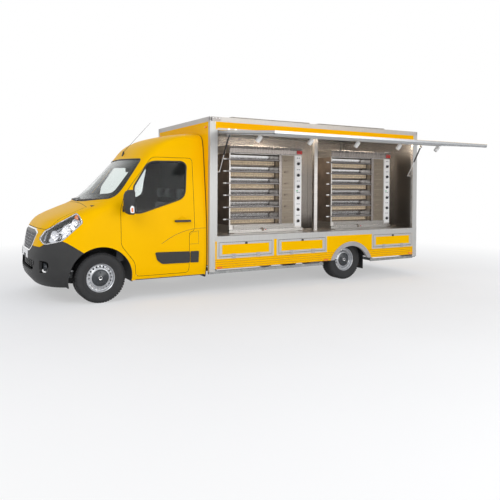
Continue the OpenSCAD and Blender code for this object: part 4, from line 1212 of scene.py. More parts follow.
edge.box((OPEN_REAR, HALF_W - 0.001, COUNTER_TOP - 0.033), (OPEN_FRONT, HALF_W + 0.005, COUNTER_TOP - 0.001))
edge.box((OPEN_REAR, HALF_W - 0.012, COUNTER_TOP - 0.002), (OPEN_FRONT, HALF_W + 0.0045, COUNTER_TOP + 0.003))
put(edge, "alu", 0.003)

ARCH_X, ARCH_Z, TRIM_R = -WHEELBASE - 0.046, 0.184, 0.494


def skirt_spans(z):
    """The skirt's two lengths at a height, in front of the rear wheel's arch and behind it."""
    half = math.sqrt(TRIM_R ** 2 - (z - ARCH_Z) ** 2) + 0.004
    return (POST_FRONT, ARCH_X + half), (ARCH_X - half, POST_REAR)


ribs = Build("skirt_ribs")
for s in (1, -1):
    for z in (0.386, 0.420, 0.455, 0.490, 0.520):
        for a, b in skirt_spans(z):
            ribs.prism(rounded([(s * (HALF_W - 0.002), z - 0.011), (s * (HALF_W + 0.004), z - 0.008),
                (s * (HALF_W + 0.004), z + 0.006), (s * (HALF_W - 0.002), z + 0.009)], 0.003, 2), a, b, "X")
put(ribs, "foil")
# Dark yellow strips just below each skirt rib: painted shade standing in for the shadow that each rib casts on
# the skirt
M["painted_rib_shade"] = finish_material("skirt_painted_rib_shade", (0.50, 0.22, 0.0), 0.6, 0.0, 0.1, 30.0, grain=200.0)
rib_shadow_strips = Build("skirt_painted_rib_shadows")
for s in (1, -1):
    for z in (0.371, 0.403, 0.438, 0.473, 0.507):
        for a, b in skirt_spans(z):
            rib_shadow_strips.box((a, s * (HALF_W - 0.001), z - 0.0025), (b, s * (HALF_W + 0.0008), z + 0.0035))
put(rib_shadow_strips, "painted_rib_shade")
markers = Build("side_markers")
for s in (1, -1):
    for x, z in ((-1.78, 0.392), (-3.818, 0.392), (-5.816, 0.400)):
        markers.box((x - 0.045, s * (HALF_W - 0.002), z - 0.013), (x + 0.045, s * (HALF_W + 0.014), z + 0.013))
put(markers, "orange", 0.005)
front_markers = Build("roof_markers")
for s in (1, -1):
    front_markers.box((BOX_FRONT - 0.001, s * 0.94, 2.535), (BOX_FRONT + 0.012, s * 1.00, 2.560))
put(front_markers, "orange", 0.004)
arch_edge = Build("arch_trim_edges")
for s in (1, -1):
    for r in (TRIM_R - 0.002, TRIM_R - 0.072):
        lim = math.asin((0.371 - ARCH_Z) / r)
        pts = [(ARCH_X + r * math.cos(a), s * (HALF_W + 0.008), ARCH_Z + r * math.sin(a))
            for a in np.linspace(lim, math.pi - lim, 40)]
        arch_edge.tube([Vector(p) for p in pts], 0.004, 8)
put(arch_edge, "grey")

# Lockers: a fixed light frame, a light door frame round its insert, hinges and a latch
for i, (xf, xr) in enumerate(LOCKERS):
    tag, door = f"locker_{i + 1}", f"locker_door_{i + 1}"
    z0, z1 = SKIRT_TOP - 0.006, LOCKER_TOP + 0.028
    hx0, hx1 = xr + LOCKER_RIM - 0.006, xf - LOCKER_RIM + 0.006
    hz0, hz1 = SKIRT_TOP + LOCKER_RIM - 0.006, LOCKER_TOP - LOCKER_RIM + 0.006
    fixed = Build(tag + "_frame")
    y0, y1 = HALF_W - 0.001, HALF_W + 0.0035
    fixed.box((xr - 0.008, y0, z0), (hx0, y1, z1)).box((hx1, y0, z0), (xf + 0.008, y1, z1))
    fixed.box((hx0 - 0.001, y0, hz1), (hx1 + 0.001, y1, z1)).box((hx0 - 0.001, y0, z0), (hx1 + 0.001, y1, hz0))
    put(fixed, "alu", 0.001)
    gasket = Build(tag + "_gasket")
    gy0, gy1 = INNER_Y - 0.002, INNER_Y + 0.004
    gasket.box((hx0 - 0.002, gy0, hz0 - 0.002), (hx0 + 0.012, gy1, hz1 + 0.002))
    gasket.box((hx1 - 0.012, gy0, hz0 - 0.002), (hx1 + 0.002, gy1, hz1 + 0.002))
    gasket.box((hx0, gy0, hz1 - 0.012), (hx1, gy1, hz1 + 0.002)).box((hx0, gy0, hz0 - 0.002),
        (hx1, gy1, hz0 + 0.012))
    put(gasket, "seal")
    dx0, dx1, dz0, dz1 = hx0 + 0.006, hx1 - 0.006, hz0 + 0.006, hz1 - 0.006
    w, h = 0.050, 0.032
    door_frame = Build(tag + "_door_frame")
    y1 = HALF_W + 0.004
    door_frame.box((dx0, y0, dz0), (dx0 + w, y1, dz1)).box((dx1 - w, y0, dz0), (dx1, y1, dz1))
    door_frame.box((dx0 + w - 0.001, y0, dz0), (dx1 - w + 0.001, y1, dz0 + h))
    door_frame.box((dx0 + w - 0.001, y0, dz1 - h), (dx1 - w + 0.001, y1, dz1))
    put(door_frame, "alu", 0.001, body=door)
    latch = Build(tag + "_latch")
    mid_x = (dx0 + dx1) / 2
    latch.box((mid_x - 0.022, HALF_W + 0.003, dz1 - 0.034), (mid_x + 0.022, HALF_W + 0.009, dz1 - 0.004))
    latch.rod((mid_x, HALF_W + 0.006, dz1 - 0.019), (mid_x, HALF_W + 0.016, dz1 - 0.019), 0.011, 0.009, 20)
    latch.box((mid_x - 0.003, HALF_W + 0.014, dz1 - 0.030), (mid_x + 0.003, HALF_W + 0.020, dz1 - 0.008))
    put(latch, "dark_metal", 0.002, body=door)
    lower, upper = Build(tag + "_hinge_plates"), Build(tag + "_hinge_leaves")
    axis_z = hz0 + 0.003
    for k in (0.28, 0.72):
        x = xf + (xr - xf) * k
        lower.box((x - 0.036, HALF_W + 0.002, axis_z - 0.034), (x + 0.036, HALF_W + 0.0075, axis_z - 0.009))
        upper.box((x - 0.036, HALF_W + 0.003, axis_z + 0.009), (x + 0.036, HALF_W + 0.0085, axis_z + 0.040))
        for dx in (-0.022, 0.022):
            lower.rod((x + dx, HALF_W + 0.006, axis_z - 0.022), (x + dx, HALF_W + 0.010, axis_z - 0.022), 0.005,
                sides=12)
            upper.rod((x + dx, HALF_W + 0.007, axis_z + 0.027), (x + dx, HALF_W + 0.011, axis_z + 0.027), 0.005,
                sides=12)
    put(lower, "grey", 0.002)
    put(upper, "grey", 0.002, body=door)

# Wall and ceiling seams inside, and the two ceiling lamps
seams = Build("lining_seams")
for x in np.arange(BOX_FRONT - 0.5, BOX_REAR, -0.72):
    seams.box((x - 0.002, -INNER_Y, 0.48), (x + 0.002, -INNER_Y + 0.0015, 2.62))
    seams.box((x - 0.002, -INNER_Y, ROOF_TOP - 0.0465), (x + 0.002, INNER_Y - 0.02, ROOF_TOP - 0.045))
put(seams, "dark_metal")
lamps = Build("ceiling_lamps")
for x in (-2.9, -4.9):
    lamps.box((x - 0.32, 0.28, ROOF_TOP - 0.075), (x + 0.32, 0.40, ROOF_TOP - 0.045))
put(lamps, "white", 0.006)


# ------------------------------------------------------------------ rotisseries
OVEN_Y = HALF_W - 0.360
OVEN_W, OVEN_D, OVEN_H = 1.420, 0.500, 1.438
DRAWER_H, CANOPY_H, LEVELS = 0.138, 0.130, 6
OVENS = [OPEN_FRONT - 0.392, OPEN_REAR + 0.243 + OVEN_W]
CAVITY_W, CONTROL_W = 0.930, 0.160
CAVITY_Z0 = COUNTER_TOP + DRAWER_H
CAVITY_H = OVEN_H - DRAWER_H - CANOPY_H
LEVEL_Z = [CAVITY_Z0 + CAVITY_H * (k + 0.5) / LEVELS for k in range(LEVELS)]
M["warm"] = finish_material("warm_stainless", (0.19, 0.16, 0.125), 0.34, 1.0, 0.15, 2.5, 0.1, grain=45.0,
    grain_depth=0.00015, stretch=(1, 1, 25))
M["dark_steel"] = finish_material("heat_stained_steel", (0.21, 0.165, 0.13), 0.42, 0.5, 0.25, 5.0, 0.1,
    grain=50.0, grain_depth=0.00006)
M["canopy"] = finish_material("canopy_stainless", (0.24, 0.215, 0.20), 0.26, 1.0, 0.12, 2.0, 0.08, grain=60.0,
    grain_depth=0.00005, stretch=(25, 1, 1))
M["reflect"] = finish_material("polished_reflector", (0.78, 0.77, 0.77), 0.16, 1.0, 0.08, 4.0, 0.06, grain=60.0,
    grain_depth=0.00004, stretch=(25, 1, 1))
M["spit"] = finish_material("spit_bar", (0.17, 0.16, 0.16), 0.35, 0.9, 0.15, 20.0, grain=120.0,
    grain_depth=0.00006)

for i, x0 in enumerate(OVENS):
    tag = f"rotisserie_{i + 1}"
    cx0, cx1 = x0 - 0.020, x0 - 0.020 - CAVITY_W
    shelves, lips, bricks, frames = (Build(tag + "_reflectors"), Build(tag + "_lips"),
        Build(tag + "_burner_bricks"), Build(tag + "_burner_frames"))
    spits, bars, ends = Build(tag + "_spits"), Build(tag + "_door_bars"), Build(tag + "_door_bar_ends")
    for z in LEVEL_Z:
        # from the top of a tier: a polished reflector, the door bar, the burner bricks, a dark lip
        back = OVEN_Y - 0.165
        shelves.prism([(back, z + 0.013), (back + 0.003, z + 0.045), (back + 0.008, z + 0.078),
            (back + 0.030, z + 0.098), (back + 0.027, z + 0.102), (back + 0.003, z + 0.080),
            (back - 0.002, z + 0.046), (back - 0.005, z + 0.013)], cx1 + 0.005, cx0 - 0.005, "X")
        shelves.box((cx0 - 0.005, back - 0.30, z + 0.006), (cx1 + 0.005, back, z + 0.013))
        lips.box((cx0 - 0.004, back - 0.02, z - 0.094), (cx1 + 0.004, back + 0.050, z - 0.084))
        columns = 26
        bw = (CAVITY_W - 0.03) / columns
        for c in range(columns):
            for r in (0, 1):
                bx = cx0 - 0.015 - (c + 0.5) * bw
                bz = z - 0.063 + r * 0.034
                bricks.box((bx - bw * 0.43, back, bz - 0.0155), (bx + bw * 0.43, back + 0.040, bz + 0.0155))
        frames.box((cx0 - 0.006, back - 0.020, z - 0.086), (cx1 + 0.006, back + 0.030, z - 0.004))
        # twin-bladed spit inside, and the straight bar across the front with its white end
        sy = OVEN_Y - 0.075
        spits.rod((x0 + 0.010, sy, z + 0.002), (cx1 - 0.010, sy, z + 0.002), 0.0058, sides=16)
        for s in (-1, 1):
            spits.box((cx0 - 0.03, sy - 0.004, z + 0.002 + s * 0.010),
                (cx1 + 0.03, sy + 0.004, z + 0.002 + s * 0.005))
        for b in range(4):
            bx = cx0 - 0.10 - b * (CAVITY_W - 0.2) / 3
            spits.box((bx - 0.010, sy - 0.008, z - 0.012), (bx + 0.010, sy + 0.008, z + 0.014))
        bars.box((x0 + 0.075, OVEN_Y + 0.010, z - 0.010), (cx1 - 0.002, OVEN_Y + 0.026, z + 0.008))
        for x in (x0 - 0.012, cx0 - 0.45):
            bars.box((x - 0.012, OVEN_Y - 0.030, z - 0.007), (x + 0.012, OVEN_Y + 0.012, z + 0.005))
        lips.box((x0 + 0.070, OVEN_Y + 0.009, z + 0.008), (cx1 - 0.001, OVEN_Y + 0.027, z + 0.011))
        ends.rod((x0 + 0.070, OVEN_Y + 0.018, z), (x0 + 0.118, OVEN_Y + 0.018, z), 0.0125, 0.010, 16)
    put(shelves, "reflect", 0.001)
    put(lips, "warm", 0.001)
    put(bricks, "ceramic", 0.002, stands_for=["rotisserie_burners"] if i == 0 else ())
    put(frames, "dark_steel")
    put(spits, "spit", stands_for=["rotisserie_spits"] if i == 0 else ())
    put(bars, "spit", 0.002)
    put(ends, "white")

    side_wall = Build(tag + "_side_lining")
    side_wall.box((x0 + 0.0015, OVEN_Y - OVEN_D + 0.01, CAVITY_Z0),
        (x0 + 0.0002, OVEN_Y - 0.01, CAVITY_Z0 + CAVITY_H))
    for z in LEVEL_Z:
        side_wall.lathe([(0.009, 0.0), (0.020, 0.0), (0.020, 0.004), (0.009, 0.004)],
            (x0 + 0.001, OVEN_Y - 0.075, z), "X", 20)
    put(side_wall, "dark_steel")

    # column, drive panel with its slots, and the control strip with its knobs
    col = Build(tag + "_column")
    col.box((cx1 + 0.004, OVEN_Y - 0.03, CAVITY_Z0), (cx1 - 0.036, OVEN_Y + 0.018, CAVITY_Z0 + CAVITY_H))
    col.box((cx1 - 0.042, OVEN_Y - 0.002, CAVITY_Z0), (cx1 - 0.058, OVEN_Y + 0.010, CAVITY_Z0 + CAVITY_H))
    put(col, "canopy", 0.003)
    drive_x0, drive_x1 = cx1 - 0.060, x0 - OVEN_W + CONTROL_W
    panel = Build(tag + "_drive_panel")
    marks = Build(tag + "_drive_slots")
    for z in LEVEL_Z:
        panel.box((drive_x0 - 0.004, OVEN_Y - 0.002, z - CAVITY_H / LEVELS / 2 + 0.0006),
            (drive_x1 + 0.006, OVEN_Y + 0.005, z + CAVITY_H / LEVELS / 2 - 0.0006))
        mx = (drive_x0 + drive_x1) / 2 + 0.03
        marks.box((mx - 0.045, OVEN_Y + 0.004, z + 0.008), (mx + 0.045, OVEN_Y + 0.008, z + 0.020))
        marks.box((mx - 0.010, OVEN_Y + 0.004, z - 0.010), (mx + 0.050, OVEN_Y + 0.009, z + 0.004))
        marks.rod((mx + 0.03, OVEN_Y + 0.004, z), (mx + 0.03, OVEN_Y + 0.016, z), 0.010, sides=16)
    put(panel, "warm", 0.0008)
    put(marks, "dark_steel", 0.002)
    c0, c1 = x0 - OVEN_W + CONTROL_W - 0.012, x0 - OVEN_W + 0.012
    strip = Build(tag + "_control_strip")
    strip.box((c0, OVEN_Y - 0.002, COUNTER_TOP + 0.09), (c1, OVEN_Y + 0.014, CAVITY_Z0 + CAVITY_H - 0.002))
    put(strip, "white", 0.003)
    knobs, ticks = Build(tag + "_knobs"), Build(tag + "_dial_marks")
    cm = (c0 + c1) / 2
    for k in range(LEVELS):
        z = COUNTER_TOP + 0.175 + k * (CAVITY_H + 0.02) / LEVELS
        knobs.lathe([(0.0006, 0.030), (0.016, 0.030), (0.019, 0.027), (0.021, 0.004), (0.027, 0.002),
            (0.027, 0.0), (0.0006, 0.0)], (cm, OVEN_Y + 0.0138, z), "Y", 32)
        turn = 0.6 * math.sin(k * 2.1)
        knobs.turned_box((cm + 0.010 * math.sin(turn), OVEN_Y + 0.046, z + 0.010 * math.cos(turn)),
            (0.007, 0.010, 0.036), turn, "Y")
        for a in range(7):
            b = math.radians(-120 + a * 40)
            ticks.turned_box((cm + 0.037 * math.sin(b), OVEN_Y + 0.0145, z + 0.037 * math.cos(b)),
                (0.003, 0.0015, 0.008), b, "Y")
        ticks.box((cm - 0.030, OVEN_Y + 0.0135, z + 0.092), (cm - 0.010, OVEN_Y + 0.017, z + 0.104))
        ticks.box((cm + 0.008, OVEN_Y + 0.0135, z + 0.092), (cm + 0.028, OVEN_Y + 0.017, z + 0.104))
    put(knobs, "black", 0.0015)
    put(ticks, "black")
    lamp = Build(tag + "_green_light")
    lamp.box((cm + 0.005, OVEN_Y + 0.013, COUNTER_TOP + 0.690),
        (cm + 0.040, OVEN_Y + 0.020, COUNTER_TOP + 0.706))
    put(lamp, "green", 0.002)

    # canopy with its red end block, and two tiers of drawers
    z1 = COUNTER_TOP + OVEN_H
    canopy = Build(tag + "_canopy")
    canopy.prism([(OVEN_Y - 0.01, z1 - 0.125), (OVEN_Y + 0.016, z1 - 0.118), (OVEN_Y + 0.020, z1 - 0.045),
        (OVEN_Y + 0.034, z1 - 0.038), (OVEN_Y + 0.034, z1 - 0.004), (OVEN_Y - 0.01, z1 + 0.002)],
        x0 - OVEN_W + 0.004, x0 + 0.006, "X")
    put(canopy, "canopy", 0.004)
    badge = Build(tag + "_end_block")
    badge.box((x0 - OVEN_W + 0.006, OVEN_Y + 0.016, z1 - 0.105), (x0 - OVEN_W + 0.115, OVEN_Y + 0.026,
        z1 - 0.050))
    put(badge, "red", 0.004)
    trays = Build(tag + "_drawers")
    trays.prism([(OVEN_Y - 0.01, COUNTER_TOP + 0.006), (OVEN_Y + 0.030, COUNTER_TOP + 0.006),
        (OVEN_Y + 0.036, COUNTER_TOP + 0.058), (OVEN_Y + 0.028, COUNTER_TOP + 0.064),
        (OVEN_Y - 0.01, COUNTER_TOP + 0.064)], x0 - OVEN_W - 0.012, x0 + 0.015, "X")
    trays.prism([(OVEN_Y - 0.01, COUNTER_TOP + 0.070), (OVEN_Y + 0.018, COUNTER_TOP + 0.070),
        (OVEN_Y + 0.030, COUNTER_TOP + 0.128), (OVEN_Y + 0.020, COUNTER_TOP + 0.134),
        (OVEN_Y - 0.01, COUNTER_TOP + 0.134)], x0 - OVEN_W + CONTROL_W, x0 - 0.07, "X")
    for d in (-0.16, -0.7, -1.2):
        trays.rod((x0 + d, OVEN_Y + 0.034, COUNTER_TOP + 0.036),
            (x0 + d - 0.05, OVEN_Y + 0.034, COUNTER_TOP + 0.036), 0.006, sides=12)
    put(trays, "bright", 0.003)
    catch = Build(tag + "_drawer_latch")
    lx = x0 - 0.62
    catch.box((lx - 0.02, OVEN_Y + 0.030, COUNTER_TOP + 0.030),
        (lx + 0.02, OVEN_Y + 0.044, COUNTER_TOP + 0.074))
    put(catch, "dark_steel", 0.003)
    dot = Build(tag + "_drawer_mark")
    dot.lathe([(0.0006, 0.0), (0.009, 0.0), (0.011, 0.003), (0.009, 0.006), (0.0006, 0.007)],
        (lx - 0.055, OVEN_Y + 0.032, COUNTER_TOP + 0.050), "Y", 20)
    put(dot, "red")
    feet = Build(tag + "_feet")
    for d in (0.04, OVEN_W - 0.04):
        feet.box((x0 - d - 0.03, OVEN_Y + 0.002, COUNTER_TOP + 0.0005),
            (x0 - d + 0.03, OVEN_Y + 0.05, COUNTER_TOP + 0.010))
    put(feet, "dark_steel", 0.002)

# ------------------------------------------------------------------ flap lining and spotlights
TO_OPEN = (Matrix.Translation((0, FLAP_AXIS[0], FLAP_AXIS[1])) @ Matrix.Rotation(FLAP_OPEN, 4,
    "X") @ Matrix.Translation((0, -FLAP_AXIS[0], -FLAP_AXIS[1])))
FLAP_INNER = HALF_W - 0.036
FLAP_L = FLAP_AXIS[1] - COUNTER_TOP - 0.008


def on_flap(obj, stands_for=()):
    obj.data.transform(TO_OPEN)
    return place(obj, "serving_flap", stands_for)


zt, zb = OPEN_TOP - 0.05, FLAP_AXIS[1] - FLAP_L
SPOT_Z, SPOT_STEP = FLAP_AXIS[1] - 0.865, 0.894
RIBS, RIB_FOOT, RIB_HEAD = 12, 0.12, 0.10
RIB_Z = np.linspace(zb + RIB_FOOT, zt - RIB_HEAD, RIBS)
xf, xr = OPEN_FRONT - 0.012, OPEN_REAR + 0.012
lining = Build("flap_lining_ribs")
for z in RIB_Z:
    if abs(z - SPOT_Z) > 0.03:
        lining.prism([(FLAP_INNER + 0.001, z - 0.022), (FLAP_INNER - 0.012, z - 0.012),
            (FLAP_INNER - 0.012, z + 0.012), (FLAP_INNER + 0.001, z + 0.022)], xr + 0.05, xf - 0.05, "X")
on_flap(lining.done("flap"))
gaps = Build("flap_lining_seams")
for z in RIB_Z[:-1] + 0.5 * (zt - zb - 0.22) / (RIBS - 1):
    if abs(z - SPOT_Z) > 0.03:
        gaps.box((xr + 0.05, FLAP_INNER + 0.001, z - 0.004), (xf - 0.05, FLAP_INNER - 0.002, z + 0.004))
for y in (HALF_W - 0.016, FLAP_INNER + 0.002):
    gaps.box((xr, y, zb + 0.0001), (xf, y + 0.008, zb + 0.003))
on_flap(gaps.done("dark_metal"))
rails = Build("flap_edge_rails")
rails.box((xr, FLAP_INNER + 0.001, zb + 0.001), (xf, FLAP_INNER - 0.018, zb + 0.045))
for x in (xr, xf - 0.045):
    rails.box((x, FLAP_INNER + 0.001, zb + 0.001), (x + 0.045, FLAP_INNER - 0.012, zt - 0.02))
for x in np.linspace(xr, xf, 5)[1:-1]:
    rails.box((x - 0.02, FLAP_INNER + 0.001, zb + 0.04), (x + 0.02, FLAP_INNER - 0.010, zt - 0.02))
rails.box((xr - 0.003, HALF_W, zb + 0.0005), (xf + 0.003, FLAP_INNER, zb + 0.016))
on_flap(rails.done("flap_edge", 0.002))
spot_rail = Build("spotlight_rail")
SPOTS = [OPEN_FRONT - 0.226 - k * SPOT_STEP for k in range(5)]
spot_rail.box((SPOTS[-1] - 0.09, FLAP_INNER + 0.001, SPOT_Z - 0.016), (SPOTS[0] + 0.09, FLAP_INNER - 0.026,
    SPOT_Z + 0.016))
on_flap(spot_rail.done("alu", 0.003), ["flap_spotlights"])
for k, x in enumerate(SPOTS):
    body, glow = Build(f"spotlight_{k + 1}"), Build(f"spotlight_{k + 1}_lens")
    foot = TO_OPEN @ Vector((x, FLAP_INNER - 0.026, SPOT_Z))
    down = (TO_OPEN.to_3x3() @ Vector((0, -1, 0))).normalized()
    aim = Vector((0.50, -0.30, -0.80)).normalized()
    pivot = foot + down * 0.046
    body.rod(foot - down * 0.004, foot + down * 0.012, 0.024, 0.018, 24).rod(foot, pivot, 0.009, sides=16)
    start = pivot - aim * 0.030
    turn = aim.to_track_quat("Z", "Y").to_matrix().to_4x4()
    body.lathe([(0.0006, -0.020), (0.022, -0.020), (0.031, -0.010), (0.033, 0.004), (0.034, 0.080),
        (0.031, 0.080), (0.029, 0.066), (0.0006, 0.064)], (0, 0, 0), "Z", 32)
    bmesh.ops.transform(body.bm, matrix=Matrix.Translation(start) @ turn, verts=body.last)
    put(body, "white", body="serving_flap")
    glow.lathe([(0.0006, 0.072), (0.020, 0.070), (0.0285, 0.067), (0.0285, 0.0645), (0.0006, 0.0645)],
        (0, 0, 0), "Z", 24)
    bmesh.ops.transform(glow.bm, matrix=Matrix.Translation(start) @ turn, verts=glow.last)
    put(glow, "lens", body="serving_flap")

# ------------------------------------------------------------------ back of the box
rear = Build("rear_lamp_housings")
red_lens, amber_lens, white_lens = Build("rear_lamp_red"), Build("rear_lamp_amber"), Build("rear_lamp_clear")
for s in (1, -1):
    y0, y1 = s * (HALF_W - 0.055), s * (HALF_W - 0.005)
    rear.box((BOX_REAR + 0.0005, y0, 0.62), (BOX_REAR - 0.008, y1, 0.90))
    a, b = s * (HALF_W - 0.050), s * (HALF_W - 0.010)
    red_lens.box((BOX_REAR - 0.006, a, 0.775), (BOX_REAR - 0.0138, b, 0.893))
    amber_lens.box((BOX_REAR - 0.006, a, 0.703), (BOX_REAR - 0.0138, b, 0.771))
    white_lens.box((BOX_REAR - 0.006, a, 0.628), (BOX_REAR - 0.0138, b, 0.699))
    red_lens.box((BOX_REAR - 0.0002, s * 0.98, 2.60), (BOX_REAR - 0.010, s * 1.04, 2.62))
red_lens.box((BOX_REAR - 0.0002, -0.16, 2.50), (BOX_REAR - 0.014, 0.16, 2.525))
put(rear, "black", 0.002, stands_for=["rear_lamps"])
put(red_lens, "red", 0.004)
put(amber_lens, "orange", 0.004)
put(white_lens, "white", 0.004)
door_bits = Build("rear_door_fittings")
DOOR_HALF, DZ0, DZ1 = 0.394, 0.490, 2.350
X = BOX_REAR
for y in (-DOOR_HALF, DOOR_HALF - 0.035):
    door_bits.box((X + 0.001, y, DZ0), (X - 0.004, y + 0.035, DZ1))
for z in (DZ0, DZ1 - 0.035):
    door_bits.box((X + 0.001, -DOOR_HALF + 0.034, z), (X - 0.004, DOOR_HALF - 0.034, z + 0.035))
put(door_bits, "alu", 0.0015, body="rear_door")
handle = Build("rear_door_handle")
handle.box((X + 0.001, DOOR_HALF - 0.110, 1.24), (X - 0.010, DOOR_HALF - 0.045, 1.44))
handle.box((X - 0.008, DOOR_HALF - 0.100, 1.28), (X - 0.030, DOOR_HALF - 0.080, 1.41))
handle.rod((X - 0.008, DOOR_HALF - 0.062, 1.27), (X - 0.014, DOOR_HALF - 0.062, 1.27), 0.010, sides=20)
put(handle, "black", 0.004, body="rear_door")
surround = Build("rear_door_surround")
G = 0.406
for y in (-G - 0.03, G):
    surround.box((X + 0.001, y, DZ0 - 0.01), (X - 0.003, y + 0.03, DZ1 + 0.036))
surround.box((X + 0.001, -G, DZ1 + 0.006), (X - 0.003, G, DZ1 + 0.036))
put(surround, "alu", 0.001)
vent = Build("rear_door_vent")
vent.box((X + 0.001, -0.20, 2.02), (X - 0.006, 0.20, 2.22))
for z in np.linspace(2.04, 2.20, 7):
    vent.turned_box((X - 0.007, 0, z), (0.012, 0.37, 0.004), math.radians(35), "Y")
put(vent, "grey", 0.001, body="rear_door")
plate = Build("rear_plate")
plate.box((X - 0.0005, -0.96, 0.72), (X - 0.006, -0.44, 0.83))
put(plate, "white", 0.004)
plate_lamp = Build("rear_plate_lamp").box((X - 0.0005, -0.74, 0.845), (X - 0.026, -0.66, 0.865))
put(plate_lamp, "black", 0.004)
treads = Build("rear_step_treads")
for s in (1, -1):
    for k in range(14):
        for row in (-0.014, -0.034, -0.054):
            y = s * (0.30 + k * 0.052)
            treads.turned_box((X + row, y, 0.3605), (0.006, 0.026, 0.003), math.radians(35 if k % 2 else -35),
                "Z")
put(treads, "galv")
reflectors = Build("rear_reflectors")
for s in (1, -1):
    reflectors.lathe([(0.0006, 0.0), (0.030, 0.0), (0.034, -0.002), (0.030, -0.007), (0.0006, -0.008)],
        (X + 0.0005, s * 1.02, 0.545), "X", 32)
put(reflectors, "red")
flaps = Build("mud_flaps")
for s in (1, -1):
    flaps.box((-WHEELBASE - 0.425, s * 0.75, 0.16), (-WHEELBASE - 0.417, s * 0.99, 0.42))
put(flaps, "seal", 0.002)
cover_lines = Build("roof_cover_seams")
for a, b in ((-2.130, -3.600), (-3.850, -5.330)):
    for k in (1, 2):
        x = a + (b - a) * k / 3
        cover_lines.box((x - 0.003, -0.86, 2.7485), (x + 0.003, 0.86, 2.7499))
    cover_lines.box((a + 0.026, 0.8745, 2.7375), (b - 0.026, 0.8765, 2.7415))
put(cover_lines, "dark_metal")


# ------------------------------------------------------------------ stage
def area_light(name, at, target, size, power, colour=(1, 1, 1)):
    light = bpy.data.lights.new(name, "AREA")
    light.shape = "RECTANGLE"
    light.size, light.size_y = size
    light.energy = power
    light.color = colour
    obj = bpy.data.objects.new(name, light)
    link(obj)
    obj.location = ORIGIN + Vector(at)
    obj.rotation_euler = (Vector(target) - Vector(at)).to_track_quat("-Z", "Y").to_euler()
    return obj


# The sun-like key comes from over the camera's left shoulder, with a broad fill all round
area_light("key", (6.5, 7.5, 7.5), (-1.5, 0.5, 1.0), (6.0, 6.0), 450)
area_light("side_fill", (-6.0, 10.0, 3.5), (-3.0, 0.0, 1.3), (8.0, 4.0), 240)
area_light("back_fill", (-9.0, -8.0, 6.0), (-2.0, 0.0, 1.0), (8.0, 6.0), 300)
area_light("serving_fill", (-2.4, 8.5, 1.5), (-3.8, 0.5, 1.6), (5.0, 2.2), 70)
area_light("room_light_front", (-2.9, 0.45, 2.60), (-2.9, 0.6, 1.0), (1.2, 0.3), 34, (1.0, 0.86, 0.70))
area_light("room_light_rear", (-4.9, 0.45, 2.60), (-4.8, 0.6, 1.0), (1.2, 0.3), 34, (1.0, 0.86, 0.70))

world = bpy.data.worlds.new("studio")
bpy.context.scene.world = world
world.use_nodes = True
wn, wl = world.node_tree.nodes, world.node_tree.links
wn.clear()
world_out = wn.new("ShaderNodeOutputWorld")
plain, white = wn.new("ShaderNodeBackground"), wn.new("ShaderNodeBackground")
choose = wn.new("ShaderNodeMixShader")
plain.inputs[0].default_value = (0.86, 0.90, 1.0, 1)
plain.inputs[1].default_value = 0.50
white.inputs[0].default_value = (1, 1, 1, 1)
white.inputs[1].default_value = 1.0
wl.new(seen_by_camera(wn, wl), choose.inputs[0])
wl.new(plain.outputs[0], choose.inputs[1])
wl.new(white.outputs[0], choose.inputs[2])
wl.new(choose.outputs[0], world_out.inputs[0])

floor_mesh = bpy.data.meshes.new("studio_floor")
floor_bm = bmesh.new()
bmesh.ops.create_grid(floor_bm, x_segments=2, y_segments=2, size=60)
floor_bm.to_mesh(floor_mesh)
floor_bm.free()
floor = bpy.data.objects.new("studio_floor", floor_mesh)
link(floor)
floor.location = (0, 0, -0.001)
floor_mat, fn, fl, floor_shader = new_material("pale_floor")
fl.new(two_tone(fn, fl, noise(fn, fl, 0.4), (0.83, 0.83, 0.83), (0.87, 0.87, 0.87)),
    floor_shader.inputs["Base Color"])
floor_shader.inputs["Roughness"].default_value = 0.9
floor_shader.inputs["Specular IOR Level"].default_value = 0.1
floor_mesh.materials.append(floor_mat)
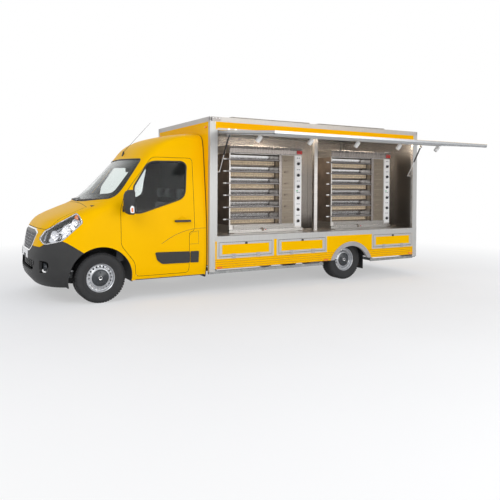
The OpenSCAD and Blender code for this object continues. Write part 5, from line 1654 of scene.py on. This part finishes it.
# further away, the camera sees the floor fade into the white background; near by it keeps the shadow
glow, fade = fn.new("ShaderNodeEmission"), fn.new("ShaderNodeMixShader")
glow.inputs[0].default_value = (1, 1, 1, 1)
floor_coords, floor_far = fn.new("ShaderNodeTexCoord"), fn.new("ShaderNodeVectorMath")
floor_far.operation = "LENGTH"
fl.new(floor_coords.outputs["Object"], floor_far.inputs[0])
floor_range = fn.new("ShaderNodeMapRange")
fl.new(floor_far.outputs["Value"], floor_range.inputs["Value"])
for socket, value in (("From Min", 3.5), ("From Max", 9.0), ("To Min", 0.45), ("To Max", 1.0)):
    floor_range.inputs[socket].default_value = value
fl.new(math_node(fn, fl, "MULTIPLY", seen_by_camera(fn, fl), floor_range.outputs[0]), fade.inputs[0])
fl.new(floor_shader.outputs[0], fade.inputs[1])
fl.new(glow.outputs[0], fade.inputs[2])
fl.new(fade.outputs[0], next(n for n in fn if n.type == "OUTPUT_MATERIAL").inputs[0])

# ------------------------------------------------------------------ camera
SENSOR = 36.0
CAMERA_AT = (1.9667, 8.611, 1.6314)
YAW, PITCH, ROLL = 0.5183, 0.0155, 0.0059
FOCAL_WIDTHS = 1.0941        # focal length over the picture's width
FRAMING_LIFT = 0.109         # how far the view sits above the optical axis, in picture widths

camera_data = bpy.data.cameras.new("camera")
camera_data.sensor_width = SENSOR
camera_data.lens = SENSOR * FOCAL_WIDTHS
camera_data.shift_y = -FRAMING_LIFT
camera_data.clip_end = 200
camera = bpy.data.objects.new("camera", camera_data)
link(camera)
forward = Vector((-math.sin(YAW) * math.cos(PITCH), -math.cos(YAW) * math.cos(PITCH), -math.sin(PITCH)))
right = forward.cross(Vector((0, 0, 1))).normalized()
up = right.cross(forward)
rolled_right = math.cos(ROLL) * right + math.sin(ROLL) * up
rolled_up = -math.sin(ROLL) * right + math.cos(ROLL) * up
camera.matrix_world = Matrix.Translation(ORIGIN + Vector(CAMERA_AT)) @ Matrix(
    (rolled_right, rolled_up, -forward)).transposed().to_4x4()
bpy.context.scene.camera = camera
bpy.context.scene.view_settings.view_transform = "Standard"

for skin in SKINS.values():
    bpy.data.objects.remove(skin)

# the boolean leaves the bumper's nose a few hundredths of a millimetre proud of the CAD box
nose = bpy.data.objects["bumper"]
for vertex in nose.data.vertices:
    vertex.co.x = min(vertex.co.x, cad_bounds[1][0] - nose.matrix_world.translation.x)
